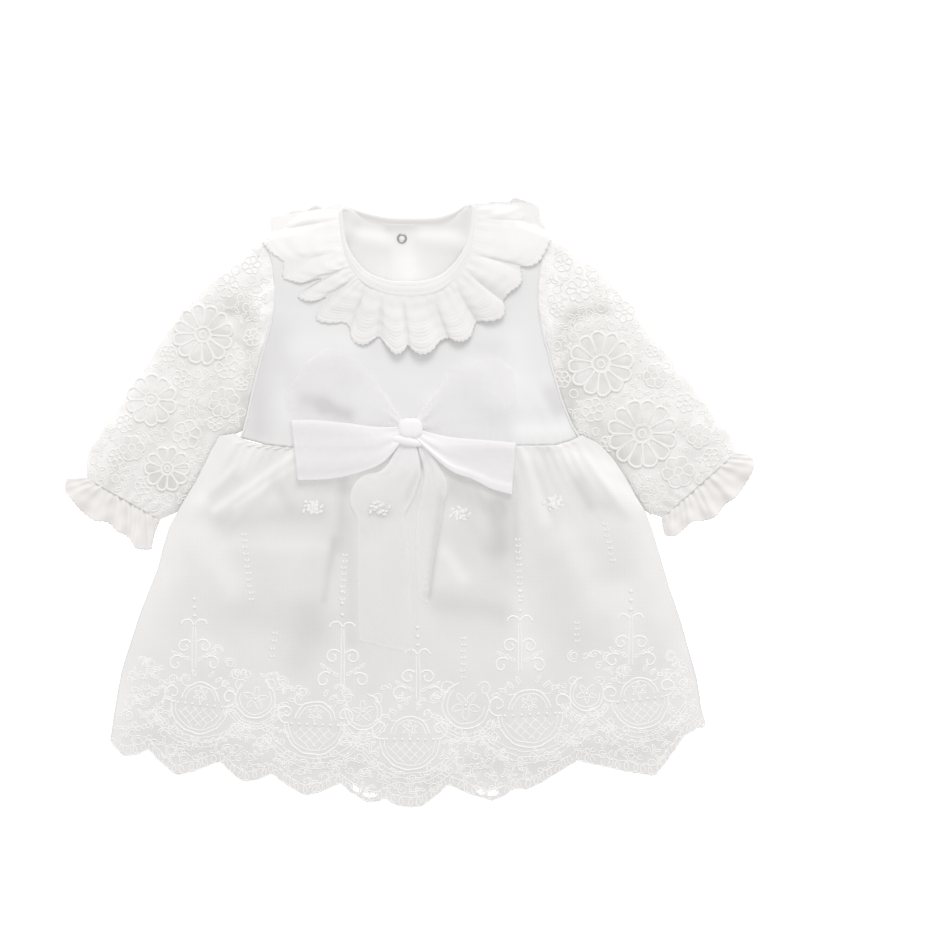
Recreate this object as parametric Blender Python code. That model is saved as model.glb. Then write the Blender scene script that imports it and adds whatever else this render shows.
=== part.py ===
"""A baby's christening gown laid flat: panels, lace sleeves, ruffled collar, net skirt and bow.

Lengths in the tables are millimetres. +Z is up, the gown rests on Z = 0 and its neck points to +Y.
"""

import math

import bmesh
import bpy
from mathutils import Vector
from mathutils.bvhtree import BVHTree
from mathutils.geometry import delaunay_2d_cdt

MM = 0.001
SEAM = 0.4
CLEAR = 0.35
PANEL_WALL = 1.2
LINING_WALL = 1.0
NET_WALL = 1.1
SLEEVE_WALL = 1.2
COLLAR_WALL = 1.1
COLLAR_LIFT = 1.1
RIBBON_WALL = 1.0
BIND_WALL = 2.0
SLIT_X = -17.0
SLIT_BOTTOM = 128.0
PLACKET_WIDE = 22.0
PLACKET_LONG = 84.0
SNAP_X = -6.2
SNAP_Y = 208.5
SNAP_RADIUS = 4.4

# End points of each armhole seam and how far its middle leans towards the body.
ARMHOLES = {
    "left": {"top": (-109.5, 204.0), "bottom": (-110.5, 125.5), "lean": 6.0},
    "right": {"top": (106.0, 206.0), "bottom": (104.5, 123.0), "lean": -6.5},
}

# Sleeve sections from the seam to the cuff: outer edge x, y, inner edge x, y, height.
SLEEVE_LEFT = [
    (-124.0, 199.0, -114.5, 121.0, 4.8),
    (-144.8, 180.2, -116.0, 111.0, 5.1),
    (-161.7, 164.8, -118.9, 99.0, 5.1),
    (-177.1, 147.8, -121.8, 87.0, 5.1),
    (-192.5, 126.3, -125.0, 73.0, 5.1),
    (-207.9, 101.6, -129.4, 57.0, 5.1),
    (-223.3, 78.5, -146.6, 49.2, 5.1),
    (-237.0, 59.5, -156.0, 30.0, 5.1),
    (-247.0, 43.0, -169.6, 6.8, 5.1),
    (-250.3, 32.0, -179.6, -5.4, 4.9),
    (-249.5, 20.0, -192.5, -12.3, 4.2),
]
SLEEVE_RIGHT = [
    (119.4, 201.7, 108.2, 117.6, 4.8),
    (134.8, 191.0, 110.6, 106.8, 5.1),
    (148.6, 179.4, 114.0, 95.0, 5.1),
    (161.7, 164.0, 117.6, 83.4, 5.1),
    (174.8, 148.6, 121.6, 72.0, 5.1),
    (186.3, 132.4, 126.8, 60.6, 5.1),
    (197.9, 117.8, 133.6, 51.8, 5.1),
    (209.4, 102.4, 145.4, 43.2, 5.1),
    (221.8, 87.8, 156.2, 32.5, 5.1),
    (233.3, 71.6, 166.4, 18.2, 5.1),
    (244.1, 58.5, 175.6, 4.2, 5.1),
    (250.3, 48.5, 183.8, -5.2, 4.9),
    (251.0, 39.3, 194.5, -10.8, 4.2),
]

# Free edge of each cuff ruffle, from the outer edge of the sleeve: along the cuff seam, out from it, height.
CUFF_LEFT = [
    (-13.0, 8.0, 1.8),
    (-10.0, 15.0, 3.6),
    (-1.5, 19.3, 5.6),
    (10.0, 23.6, 3.0),
    (22.0, 24.6, 5.6),
    (31.5, 21.2, 2.8),
    (41.5, 23.4, 5.4),
    (47.0, 22.8, 3.2),
    (53.0, 23.9, 4.6),
    (59.5, 27.3, 5.6),
    (66.2, 25.4, 3.4),
    (70.6, 22.0, 5.0),
    (68.0, 15.5, 3.0),
    (66.5, 6.0, 1.6),
]
CUFF_RIGHT = [
    (-6.5, 6.7, 1.8),
    (-6.8, 12.0, 3.6),
    (-1.7, 17.9, 5.6),
    (10.5, 22.5, 3.0),
    (23.0, 25.0, 5.6),
    (32.3, 23.9, 2.8),
    (44.2, 25.7, 5.6),
    (52.0, 23.0, 3.0),
    (60.0, 17.0, 5.0),
    (69.3, 17.0, 3.0),
    (77.0, 16.4, 5.4),
    (82.7, 11.3, 3.6),
    (80.4, 5.2, 1.6),
]

# Half outline of the bodice between the armholes and the waist, top to bottom.
SIDE_LEFT = [
    (-111.2, 124.0), (-115.4, 110.0), (-118.6, 97.0), (-122.2, 82.0), (-125.4, 67.0), (-128.0, 57.0),
    (-130.4, 51.6),
]
SIDE_RIGHT = [
    (105.6, 121.0), (109.2, 105.0), (113.2, 92.0), (116.6, 80.0), (120.6, 70.0), (125.4, 59.0),
    (130.4, 51.6),
]
WAIST = [
    (-130.4, 51.6), (-112.0, 46.6), (-92.4, 44.0), (-48.0, 43.2), (0.0, 43.4), (44.0, 44.2), (84.5, 45.4),
    (111.5, 45.8), (130.4, 51.6),
]

# Neck edge of the front bodice under the binding, left shoulder to right shoulder.
FRONT_NECK = [
    (-54.5, 226.0), (-53.6, 213.0), (-51.6, 203.0), (-47.6, 191.0), (-40.6, 178.6), (-31.0, 170.0),
    (-20.0, 165.4), (-4.0, 163.4), (12.0, 164.6), (22.6, 168.6), (33.0, 176.0), (40.6, 185.4),
    (45.2, 196.4), (47.8, 208.0), (49.0, 220.0), (49.2, 229.0),
]
BACK_NECK = [
    (-52.0, 227.0), (-40.0, 224.6), (-28.0, 221.4), (-14.5, 218.6), (0.0, 218.2), (14.0, 218.4),
    (28.0, 220.6), (40.0, 225.0), (48.0, 230.4),
]

# Neck binding stations: outer edge x, y, inner edge x, y. The first eighteen run round the front.
BINDING = [
    (-54.6, 224.8, -51.4, 224.8),
    (-54.2, 214.8, -51.0, 214.8),
    (-53.0, 203.4, -49.4, 204.8),
    (-50.0, 191.0, -45.4, 194.0),
    (-44.6, 179.6, -39.2, 184.8),
    (-36.8, 170.4, -31.4, 177.8),
    (-26.2, 164.2, -22.4, 174.0),
    (-15.4, 160.4, -13.0, 171.6),
    (-3.8, 159.2, -3.8, 171.4),
    (7.8, 159.6, 6.2, 171.6),
    (18.4, 161.8, 15.4, 173.2),
    (28.4, 167.2, 24.0, 177.0),
    (36.8, 174.8, 31.6, 183.2),
    (43.0, 184.8, 37.8, 190.8),
    (47.0, 195.6, 42.4, 199.4),
    (49.4, 207.2, 45.6, 209.4),
    (50.2, 218.6, 47.0, 219.4),
    (50.2, 229.2, 46.8, 228.6),
    (44.6, 231.8, 41.6, 225.6),
    (34.6, 225.6, 33.2, 218.8),
    (23.2, 221.8, 23.2, 214.2),
    (11.6, 220.6, 11.6, 213.4),
    (-1.6, 220.6, -1.6, 213.4),
    (-15.4, 221.0, -14.6, 214.0),
    (-29.2, 223.4, -27.8, 216.4),
    (-40.8, 226.8, -38.6, 220.2),
    (-49.2, 230.2, -46.2, 224.8),
]

# Collar ruffle sections round the front: inner edge x, y, outer edge x, y, lift of the outer edge.
COLLAR = [
    (-54.6, 229.5, -107.0, 221.0, 0.8),
    (-55.2, 225.0, -107.0, 217.4, 2.6),
    (-55.3, 221.4, -102.4, 214.6, 3.3),
    (-55.3, 218.8, -101.0, 209.8, 0.4),
    (-55.2, 214.6, -106.4, 206.6, 1.6),
    (-54.9, 209.6, -113.0, 203.4, 2.2),
    (-54.2, 204.2, -109.6, 197.6, 1.8),
    (-53.0, 199.0, -105.2, 192.6, 1.4),
    (-51.8, 195.0, -97.0, 186.2, 2.0),
    (-50.6, 191.6, -97.2, 175.0, 2.8),
    (-49.6, 188.8, -90.4, 171.7, 3.3),
    (-48.6, 186.6, -82.6, 170.2, 3.3),
    (-47.6, 184.6, -74.4, 172.8, 3.3),
    (-46.8, 183.0, -68.6, 172.6, 0.4),
    (-46.0, 181.6, -84.4, 162.4, 0.9),
    (-45.0, 179.8, -84.2, 158.4, 2.2),
    (-43.8, 178.0, -77.0, 156.2, 3.2),
    (-42.4, 176.2, -70.4, 157.0, 3.2),
    (-41.2, 174.6, -64.6, 158.6, 0.4),
    (-40.0, 173.2, -71.0, 147.4, 0.6),
    (-38.8, 171.8, -70.8, 141.7, 2.4),
    (-37.2, 170.2, -61.6, 139.4, 2.9),
    (-35.4, 168.8, -50.4, 139.6, 1.8),
    (-33.4, 167.6, -46.2, 135.5, 0.6),
    (-31.4, 166.4, -45.4, 129.0, 1.8),
    (-29.2, 165.2, -40.8, 124.0, 3.2),
    (-26.6, 164.0, -34.2, 123.2, 3.3),
    (-24.0, 162.8, -28.2, 126.4, 2.4),
    (-21.0, 161.8, -23.6, 128.6, 0.8),
    (-17.8, 160.8, -17.0, 121.2, 2.4),
    (-14.0, 159.8, -10.6, 115.6, 3.3),
    (-9.8, 159.0, -4.4, 118.4, 3.0),
    (-5.6, 158.6, -1.4, 122.4, 1.0),
    (-1.8, 158.5, 3.2, 117.8, 2.5),
    (3.0, 158.6, 10.2, 115.5, 3.3),
    (8.0, 159.0, 17.2, 118.5, 3.0),
    (12.8, 159.8, 23.0, 125.4, 0.8),
    (17.0, 160.8, 29.2, 127.8, 1.8),
    (21.0, 162.4, 34.8, 125.5, 2.9),
    (24.6, 164.4, 40.8, 125.5, 3.2),
    (28.2, 166.4, 46.4, 129.4, 2.3),
    (31.0, 168.2, 48.8, 135.6, 1.0),
    (33.4, 170.0, 51.8, 140.6, 0.4),
    (35.8, 172.0, 61.8, 140.8, 2.2),
    (38.0, 174.4, 70.8, 144.2, 3.2),
    (40.2, 177.2, 72.6, 152.2, 2.4),
    (42.0, 179.8, 71.6, 156.6, 0.4),
    (43.4, 181.8, 76.6, 163.0, 2.4),
    (44.6, 184.0, 82.4, 167.2, 3.3),
    (45.8, 186.8, 85.5, 172.2, 3.2),
    (47.0, 189.8, 84.8, 179.4, 1.6),
    (48.0, 192.6, 85.2, 182.8, 0.4),
    (49.0, 196.0, 91.8, 183.0, 2.6),
    (49.8, 200.0, 98.6, 186.6, 3.2),
    (50.6, 204.6, 103.4, 194.6, 2.8),
    (51.0, 209.4, 107.2, 203.4, 2.2),
    (51.2, 213.6, 107.2, 209.6, 1.4),
    (51.2, 216.8, 103.6, 214.4, 0.5),
    (51.2, 219.6, 100.4, 218.4, 0.4),
    (51.2, 223.0, 99.6, 225.8, 2.8),
    (51.0, 227.0, 98.4, 229.6, 3.0),
    (50.6, 231.0, 93.6, 232.4, 1.2),
]

# Back halves of the collar ruffle, seen past each shoulder and lying under the back panel.
COLLAR_BACK_LEFT = [
    (-21.0, 216.0), (-34.0, 221.0), (-46.0, 227.0), (-54.0, 231.2), (-66.0, 228.8), (-73.0, 230.8),
    (-80.0, 227.0),
    (-91.0, 226.2), (-98.0, 222.8), (-107.2, 221.2), (-106.8, 212.0), (-98.0, 196.0), (-86.0, 184.0),
    (-72.0, 176.0),
    (-56.0, 171.0), (-40.0, 170.0), (-20.0, 172.0),
]
COLLAR_BACK_RIGHT = [
    (-13.0, 215.0), (0.0, 214.6), (14.0, 215.0), (28.0, 219.0), (40.0, 225.6), (50.0, 232.2),
    (58.0, 231.8), (64.0, 233.6),
    (76.0, 233.4), (79.6, 236.6), (86.0, 235.2), (93.6, 232.4), (99.6, 228.4), (100.4, 214.0),
    (94.0, 198.0), (82.0, 184.0),
    (66.0, 175.0), (48.0, 170.0), (28.0, 168.4), (8.0, 168.4), (-13.0, 170.0),
]

# Side edges of the skirt, waist to hem.
SKIRT_LEFT = [
    (-131.2, 50.6), (-145.2, 47.6), (-151.0, 37.0), (-161.0, 18.0), (-170.6, 3.6), (-178.2, -7.0),
    (-185.5, -20.0),
    (-190.2, -35.4), (-194.0, -50.8), (-200.2, -66.2), (-207.9, -85.5), (-215.6, -108.6), (-221.8, -127.8),
    (-225.6, -147.1), (-228.7, -166.3),
]
SKIRT_RIGHT = [
    (131.2, 50.6), (143.4, 43.6), (154.6, 32.6), (164.8, 18.2), (174.2, 3.4), (181.6, -8.0), (186.6, -21.0),
    (193.0, -42.0), (200.0, -66.0), (208.0, -89.3), (215.6, -116.3), (221.0, -135.5), (224.8, -158.6),
]

# Hem scallops, left to right: notch x, y, tip x, y, half width of the tip.
HEM = [
    (-231.2, -182.6, -217.6, -195.0, 4.0),
    (-201.7, -189.2, -178.8, -209.6, 3.0),
    (-146.4, -198.6, -125.4, -214.4, 5.0),
    (-107.0, -207.8, -79.3, -225.0, 4.0),
    (-53.9, -215.6, -30.2, -230.6, 4.5),
    (-19.6, -226.8, 0.6, -234.4, 8.5),
    (29.6, -216.6, 63.0, -229.0, 4.0),
    (80.1, -219.5, 89.0, -220.6, 3.5),
    (128.6, -197.8, 185.6, -209.8, 4.0),
    (211.8, -178.6, 224.2, -173.4, 2.0),
]
HEM_END = (227.2, -166.6)

# Openwork loops in the hem: centre x, y, half length, half width, tilt in degrees.
HEM_HOLES = [
    (-41.0, -219.4, 4.0, 2.3, -38.0),
    (-30.6, -223.6, 5.0, 2.4, 0.0),
    (54.4, -221.6, 3.2, 2.1, -24.0),
    (63.6, -222.4, 4.4, 2.6, 8.0),
]

# Folds of the skirt: start x, y, end x, y, half width, height.
FOLDS = [
    (-92.0, 38.0, -112.0, 18.0, 9.0, 3.4),
    (-112.0, 18.0, -152.0, -3.0, 9.0, 3.8),
    (-140.0, 44.0, -170.0, -6.0, 11.0, 4.6),
    (86.0, 44.0, 106.0, 16.0, 8.0, 4.2),
    (106.0, 16.0, 114.0, -4.0, 9.0, 3.2),
    (131.0, 44.0, 154.0, 20.0, 10.0, 4.8),
    (154.0, 20.0, 176.0, -10.0, 10.0, 4.4),
    (-66.0, 30.0, -86.0, -74.0, 12.0, 3.4),
    (-86.0, -74.0, -98.0, -210.0, 20.0, 2.6),
    (-44.0, 30.0, -40.0, -60.0, 9.0, 2.6),
    (-40.0, -60.0, -44.0, -215.0, 16.0, 1.8),
    (28.0, 20.0, 22.0, -70.0, 8.0, 2.4),
    (22.0, -70.0, 18.0, -225.0, 18.0, 2.0),
    (64.0, 10.0, 74.0, -215.0, 16.0, 3.0),
    (112.0, -10.0, 132.0, -195.0, 18.0, 3.4),
    (166.0, -20.0, 190.0, -200.0, 18.0, 3.0),
    (-128.0, -20.0, -150.0, -200.0, 18.0, 3.2),
    (-176.0, -24.0, -206.0, -185.0, 18.0, 3.0),
]
GATHER_PITCH = 11.0
GATHER_HIGH = 0.9
GATHER_REACH = 16.0

# Bow loops from the knot to the tip: upper edge x, y, lower edge x, y.
LOOPS = {
    "bow_loop_upper_left": [
        (-10.0, 66.6, -11.6, 59.4), (-19.2, 86.2, -34.0, 61.6), (-33.9, 106.3, -55.4, 64.6),
        (-50.0, 118.6, -78.5, 66.8), (-65.4, 119.4, -92.4, 70.0), (-80.0, 109.3, -96.2, 81.0),
    ],
    "bow_loop_upper_right": [
        (8.6, 67.4, 10.0, 60.4), (20.8, 89.3, 27.0, 59.4), (34.7, 106.3, 44.6, 59.0),
        (50.8, 114.0, 61.6, 60.8), (65.5, 114.7, 73.2, 66.2), (78.5, 104.7, 82.4, 78.6),
    ],
    "bow_loop_lower_left": [
        (-10.4, 56.4, -8.4, 46.2), (-27.0, 59.4, -20.0, 32.6), (-50.0, 62.4, -40.0, 23.9),
        (-73.2, 64.6, -61.6, 19.3), (-90.0, 64.6, -84.7, 18.5),
    ],
    "bow_loop_lower_right": [
        (9.0, 55.4, 9.4, 44.6), (27.0, 52.2, 29.3, 27.0), (46.2, 50.0, 47.8, 19.3),
        (65.5, 48.6, 63.1, 11.6), (80.2, 47.2, 77.0, 7.7),
    ],
}
LOOP_GAP = 3.3

# Bow tails from the knot down: left edge x, y, right edge x, y, lift.
TAILS = {
    "bow_tail_left": [
        (-6.8, 43.4, 5.4, 43.0, 0.3), (-19.6, 27.4, 8.4, 26.2, 1.6), (-36.2, 21.6, 6.6, 16.9, 2.8),
        (-44.7, 10.8, 3.0, 6.2, 3.2), (-45.4, 0.0, -1.6, -3.1, 2.6), (-40.4, -11.6, -4.6, -12.4, 0.5),
        (-40.2, -36.0, -0.8, -36.0, 0.9), (-40.0, -74.0, 0.8, -74.0, 0.4), (-39.3, -105.0, 2.0, -115.0, 0.3),
    ],
    "bow_tail_right": [
        (8.8, 41.8, 18.0, 29.2, 0.3), (11.2, 24.2, 28.0, 18.0, 1.4), (9.0, 7.4, 25.8, -0.8, 1.0),
        (5.4, -8.6, 22.6, -20.0, 0.5), (4.4, -31.6, 18.2, -43.4, 0.8), (5.6, -54.8, 15.6, -62.4, 0.5),
        (7.2, -72.4, 13.6, -77.0, 0.3),
    ],
}

# Corded flowers laid on the sleeves: sleeve, centre x, y, radius, petals.
FLOWERS = [
    ("right", 147.0, 107.8, 25.5, 12),
    ("right", 178.6, 53.9, 27.0, 12),
    ("right", 206.4, 24.6, 12.5, 6),
    ("right", 188.5, 98.6, 9.5, 6),
    ("right", 222.5, 52.4, 9.5, 6),
    ("left", -159.4, 130.2, 23.5, 12),
    ("left", -187.0, 27.0, 17.5, 10),
    ("left", -199.0, 80.0, 20.0, 10),
    ("left", -143.5, 78.0, 12.0, 8),
    ("left", -214.0, 43.0, 10.0, 6),
]
FLOWER_WALL = 1.0

laid = {}


def cloth(name, colour, roughness):
    """One material of a colour given as linear red, green and blue."""
    material = bpy.data.materials.new(name)
    material.use_nodes = True
    shader = material.node_tree.nodes["Principled BSDF"]
    shader.inputs["Base Color"].default_value = (*colour, 1.0)
    shader.inputs["Roughness"].default_value = roughness
    shader.inputs["Metallic"].default_value = 0.0
    return material


def solid(name, points, faces, material, smooth):
    """Makes one closed body of points in millimetres and keeps its surface for what is laid on it."""
    mesh = bpy.data.meshes.new(name)
    mesh.from_pydata([[value * MM for value in point] for point in points], [], faces)
    shape = bmesh.new()
    shape.from_mesh(mesh)
    bmesh.ops.recalc_face_normals(shape, faces=shape.faces[:])
    if shape.calc_volume(signed=True) < 0.0:
        bmesh.ops.reverse_faces(shape, faces=shape.faces[:])
    bmesh.ops.triangulate(shape, faces=shape.faces[:])
    shape.to_mesh(mesh)
    shape.free()
    for polygon in mesh.polygons:
        polygon.use_smooth = smooth
    mesh.materials.append(material)
    made = bpy.data.objects.new(name, mesh)
    bpy.context.scene.collection.objects.link(made)
    corners = [vertex.co / MM for vertex in mesh.vertices]
    laid[name] = BVHTree.FromPolygons(corners, [list(polygon.vertices) for polygon in mesh.polygons])
    return made


def top_of(names, x, y, reach):
    """The highest surface of the named pieces within reach of a point, or the table."""
    best = 0.0
    spots = [(0.0, 0.0)]
    for ring in (0.5, 1.0):
        for step in range(8):
            angle = math.tau * step / 8.0
            spots.append((ring * reach * math.cos(angle), ring * reach * math.sin(angle)))
    for dx, dy in spots:
        for name in names:
            found = laid[name].ray_cast(Vector((x + dx, y + dy, 100.0)), Vector((0.0, 0.0, -1.0)))
            if found[0] is not None:
                best = max(best, found[0].z)
    return best


def smooth_step(value):
    value = min(1.0, max(0.0, value))
    return value * value * (3.0 - 2.0 * value)


def between(a, b, t):
    return tuple(a[i] + (b[i] - a[i]) * t for i in range(len(a)))


def spline(rows, t):
    """A smooth curve through the rows of a table, t from 0 to 1."""
    place = t * (len(rows) - 1)
    first = min(int(place), len(rows) - 2)
    u = place - first
    before = rows[max(first - 1, 0)]
    after = rows[min(first + 2, len(rows) - 1)]
    here = rows[first]
    there = rows[first + 1]
    found = []
    for i in range(len(here)):
        rise = (there[i] - before[i]) * 0.5
        fall = (after[i] - here[i]) * 0.5
        found.append(
            here[i] * (1 + 2 * u) * (1 - u) ** 2
            + rise * u * (1 - u) ** 2
            + there[i] * u * u * (3 - 2 * u)
            + fall * u * u * (u - 1)
        )
    return tuple(found)


def near_line(x, y, ax, ay, bx, by):
    """Distance to a segment, and how far along it the nearest point is."""
    dx = bx - ax
    dy = by - ay
    along = ((x - ax) * dx + (y - ay) * dy) / (dx * dx + dy * dy)
    along = min(1.0, max(0.0, along))
    return math.hypot(x - ax - dx * along, y - ay - dy * along), along


def edge_distance(loop, x, y):
    return min(near_line(x, y, *loop[i - 1], *loop[i])[0] for i in range(len(loop)))


def line_distance(points, x, y):
    return min(near_line(x, y, *points[i], *points[i + 1])[0] for i in range(len(points) - 1))


def inside(loop, x, y):
    found = False
    for i in range(len(loop)):
        ax, ay = loop[i - 1]
        bx, by = loop[i]
        if (ay > y) != (by > y) and x < ax + (y - ay) * (bx - ax) / (by - ay):
            found = not found
    return found


def finer(loop, longest):
    """The same loop with no side longer than given."""
    found = []
    for i in range(len(loop)):
        here = loop[i]
        there = loop[(i + 1) % len(loop)]
        parts = max(1, math.ceil(math.dist(here, there) / longest))
        found.extend(between(here, there, k / parts) for k in range(parts))
    return found


def fill_points(outline, holes, pitch, wanted):
    """A triangular field of points inside the outline, where they are wanted."""
    left = min(point[0] for point in outline)
    right = max(point[0] for point in outline)
    low = min(point[1] for point in outline)
    high = max(point[1] for point in outline)
    found = []
    row = 0
    y = low + pitch * 0.4
    while y < high:
        x = left + pitch * (0.25 + 0.5 * (row % 2))
        while x < right:
            if wanted(x, y) and inside(outline, x, y) and edge_distance(outline, x, y) > pitch * 0.45:
                if all(edge_distance(hole, x, y) > pitch * 0.4 and not inside(hole, x, y) for hole in holes):
                    found.append((x, y))
            x += pitch
        y += pitch * 0.87
        row += 1
    return found


def panel(name, outline, holes, field, under, wall, material, smooth=True):
    """A cloth panel of one wall, cut to an outline and draped over a height."""
    points = []
    edges = []
    for loop in [outline] + holes:
        start = len(points)
        points.extend(loop)
        edges.extend((start + i, start + (i + 1) % len(loop)) for i in range(len(loop)))
    points.extend(field)
    flat, _, faces, _, _, _ = delaunay_2d_cdt([Vector(point) for point in points], edges, [], 0, 1e-5)
    kept = []
    for face in faces:
        x = sum(flat[i].x for i in face) / len(face)
        y = sum(flat[i].y for i in face) / len(face)
        if inside(outline, x, y) and not any(inside(hole, x, y) for hole in holes):
            kept.append(tuple(face))
    used = sorted({i for face in kept for i in face})
    index = {old: new for new, old in enumerate(used)}
    kept = [tuple(index[i] for i in face) for face in kept]
    count = len(used)
    low = [(flat[i].x, flat[i].y, under(flat[i].x, flat[i].y)) for i in used]
    high = [(x, y, z + wall) for x, y, z in low]
    sides = {}
    for face in kept:
        for i in range(len(face)):
            ends = (face[i - 1], face[i])
            sides[ends] = sides.get(ends, 0) + 1
    walls = [(a, b, b + count, a + count) for a, b in sides if (b, a) not in sides]
    body = [tuple(reversed(face)) for face in kept]
    body += [tuple(i + count for i in face) for face in kept]
    body += walls
    return solid(name, low + high, body, material, smooth)


def tube(name, plan, top, rings, across, wall, material):
    """A flattened cloth tube, open at both ends, lying on its flat underside."""
    below = max(4, across // 2)
    outer = []
    inner = []
    for i in range(rings):
        s = i / (rings - 1)
        wide = math.dist(plan(s, 0.0), plan(s, 1.0))
        inset = min(0.2, 2.4 / wide)
        ring_out = []
        ring_in = []
        for j in range(across + 1):
            t = 0.5 - 0.5 * math.cos(math.pi * j / across)
            t = 0.45 * t + 0.55 * j / across
            ring_out.append((*plan(s, t), top(s, t)))
            shifted = inset + (1.0 - 2.0 * inset) * t
            ring_in.append((*plan(s, shifted), max(wall + 0.25, top(s, shifted) - wall)))
        for j in range(1, below):
            t = 1.0 - j / below
            ring_out.append((*plan(s, t), 0.0))
            shifted = inset + (1.0 - 2.0 * inset) * t
            ring_in.append((*plan(s, shifted), wall))
        outer.append(ring_out)
        inner.append(ring_in)
    size = len(outer[0])
    points = [point for ring in outer for point in ring] + [point for ring in inner for point in ring]
    start = rings * size
    faces = []
    for i in range(rings - 1):
        for j in range(size):
            k = (j + 1) % size
            faces.append((i * size + j, i * size + k, (i + 1) * size + k, (i + 1) * size + j))
            near = start + i * size
            far = near + size
            faces.append((near + j, far + j, far + k, near + k))
    for j in range(size):
        k = (j + 1) % size
        last = (rings - 1) * size
        faces.append((j, start + j, start + k, k))
        faces.append((last + j, last + k, start + last + k, start + last + j))
    return solid(name, points, faces, material, True)


def rounded(t):
    """Height across a flattened tube, 0 at its edges and 1 in its middle."""
    return (1.0 - min(1.0, abs(2.0 * t - 1.0)) ** 3.0) ** (1.0 / 2.4)


def armhole(side, t, shift):
    """A point of the armhole seam, moved sideways by shift."""
    seam = ARMHOLES[side]
    x, y = between(seam["top"], seam["bottom"], t)
    return x + seam["lean"] * math.sin(math.pi * t) + shift, y


def make_collar_backs(lace):
    for name, outline in (("collar_back_left", COLLAR_BACK_LEFT), ("collar_back_right", COLLAR_BACK_RIGHT)):
        panel(name, outline, [], [], lambda x, y: 0.0, COLLAR_WALL, lace)


def bodice_outline(neck):
    """Bodice edge anticlockwise from the left neck point, round the left armhole, waist and right side."""
    edge = [armhole("left", t / 7.0, 0.4) for t in range(8)]
    edge += SIDE_LEFT
    edge += WAIST[1:-1]
    edge += list(reversed(SIDE_RIGHT))
    edge += [armhole("right", 1.0 - t / 7.0, -0.4) for t in range(8)]
    edge += list(reversed(neck))
    return edge


def make_bodice_back(cotton):
    slit = 0.35
    neck = list(BACK_NECK)
    neck[3:4] = [
        (SLIT_X - slit, 218.8), (SLIT_X - slit, SLIT_BOTTOM),
        (SLIT_X + slit, SLIT_BOTTOM), (SLIT_X + slit, 218.6),
    ]
    outline = finer(bodice_outline(neck), 14.0)
    under = ["collar_back_left", "collar_back_right"]

    def height(x, y):
        rest = top_of(under, x, y, 12.0)
        return rest + CLEAR if rest > 0.0 else 0.0

    near_collar = fill_points(outline, [], 9.0, lambda x, y: y > 150.0)
    panel("bodice_back", outline, [], near_collar, height, PANEL_WALL, cotton)


def make_placket(cotton):
    left = SLIT_X + 0.6
    right = left + PLACKET_WIDE
    bottom = 211.0 - PLACKET_LONG
    outline = [(left, 211.0), (left, bottom), (right, bottom), (right, 211.0)]
    outline = finer(outline, 8.0)
    field = fill_points(outline, [], 8.0, lambda x, y: y > 140.0)

    def height(x, y):
        return top_of(["bodice_back"], x, y, 9.0) + CLEAR

    panel("placket", outline, [], field, height, 1.0, cotton)


def make_snap(metal):
    """A ring snap with a socket in its middle, standing on the placket."""
    base = top_of(["placket"], SNAP_X, SNAP_Y - 4.0, 5.0) + CLEAR
    profile = [
        (0.0, 0.0), (SNAP_RADIUS, 0.0), (SNAP_RADIUS, 0.7), (3.6, 1.2), (2.6, 1.2), (1.9, 0.6), (0.0, 0.6),
    ]
    steps = 18
    points = [(SNAP_X, SNAP_Y - 4.0, base)]
    for radius, high in profile[1:-1]:
        for i in range(steps):
            angle = math.tau * i / steps
            x = SNAP_X + radius * math.cos(angle)
            y = SNAP_Y - 4.0 + radius * math.sin(angle)
            points.append((x, y, base + high))
    points.append((SNAP_X, SNAP_Y - 4.0, base + profile[-1][1]))
    faces = []
    for i in range(steps):
        k = (i + 1) % steps
        faces.append((0, 1 + k, 1 + i))
        for ring in range(4):
            low = 1 + ring * steps
            faces.append((low + i, low + k, low + steps + k, low + steps + i))
        faces.append((1 + 4 * steps + i, 1 + 4 * steps + k, len(points) - 1))
    solid("snap", points, faces, metal, True)


def make_bodice_front(cotton):
    outline = bodice_outline(FRONT_NECK)
    field = fill_points(outline, [], 15.0, lambda x, y: True)
    edge = outline

    def height(x, y):
        rest = top_of(["bodice_back", "placket"], x, y, 8.0) + CLEAR
        inward = edge_distance(edge, x, y)
        dome = 1.9 * smooth_step(inward / 42.0)
        crease = 0.5 * math.sin(x / 13.0 + y / 31.0) * smooth_step(inward / 20.0)
        return rest + dome + max(0.0, crease)

    panel("bodice_front", outline, [], field, height, PANEL_WALL, cotton)


def make_sleeve(side, rows, lace):
    seam = ARMHOLES[side]
    away = -0.5 if side == "left" else 0.5
    count = len(rows)

    def plan(s, t):
        first_row = (*armhole(side, 0.0, away), *armhole(side, 1.0, away), 4.2)
        outer_x, outer_y, inner_x, inner_y, _ = spline([first_row] + rows, s)
        lean = seam["lean"] * math.sin(math.pi * t) * max(0.0, 1.0 - 2.2 * s)
        x, y = between((outer_x, outer_y), (inner_x, inner_y), t)
        return x + lean, y

    def top(s, t):
        high = spline([(3.9,)] + [(row[4],) for row in rows], s)[0]
        head = 0.45 * math.sin(math.tau * 4.5 * t) * max(0.0, 1.0 - 3.0 * s)
        cuff = 0.45 * math.sin(math.tau * 4.5 * t) * max(0.0, 4.0 * s - 3.0)
        crease = 0.35 * math.sin(9.0 * s + 5.0 * t) * math.sin(math.pi * s)
        return rounded(t) * (high + head + cuff + crease)

    tube("sleeve_" + side, plan, top, count + 2, 15, SLEEVE_WALL, lace)


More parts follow.
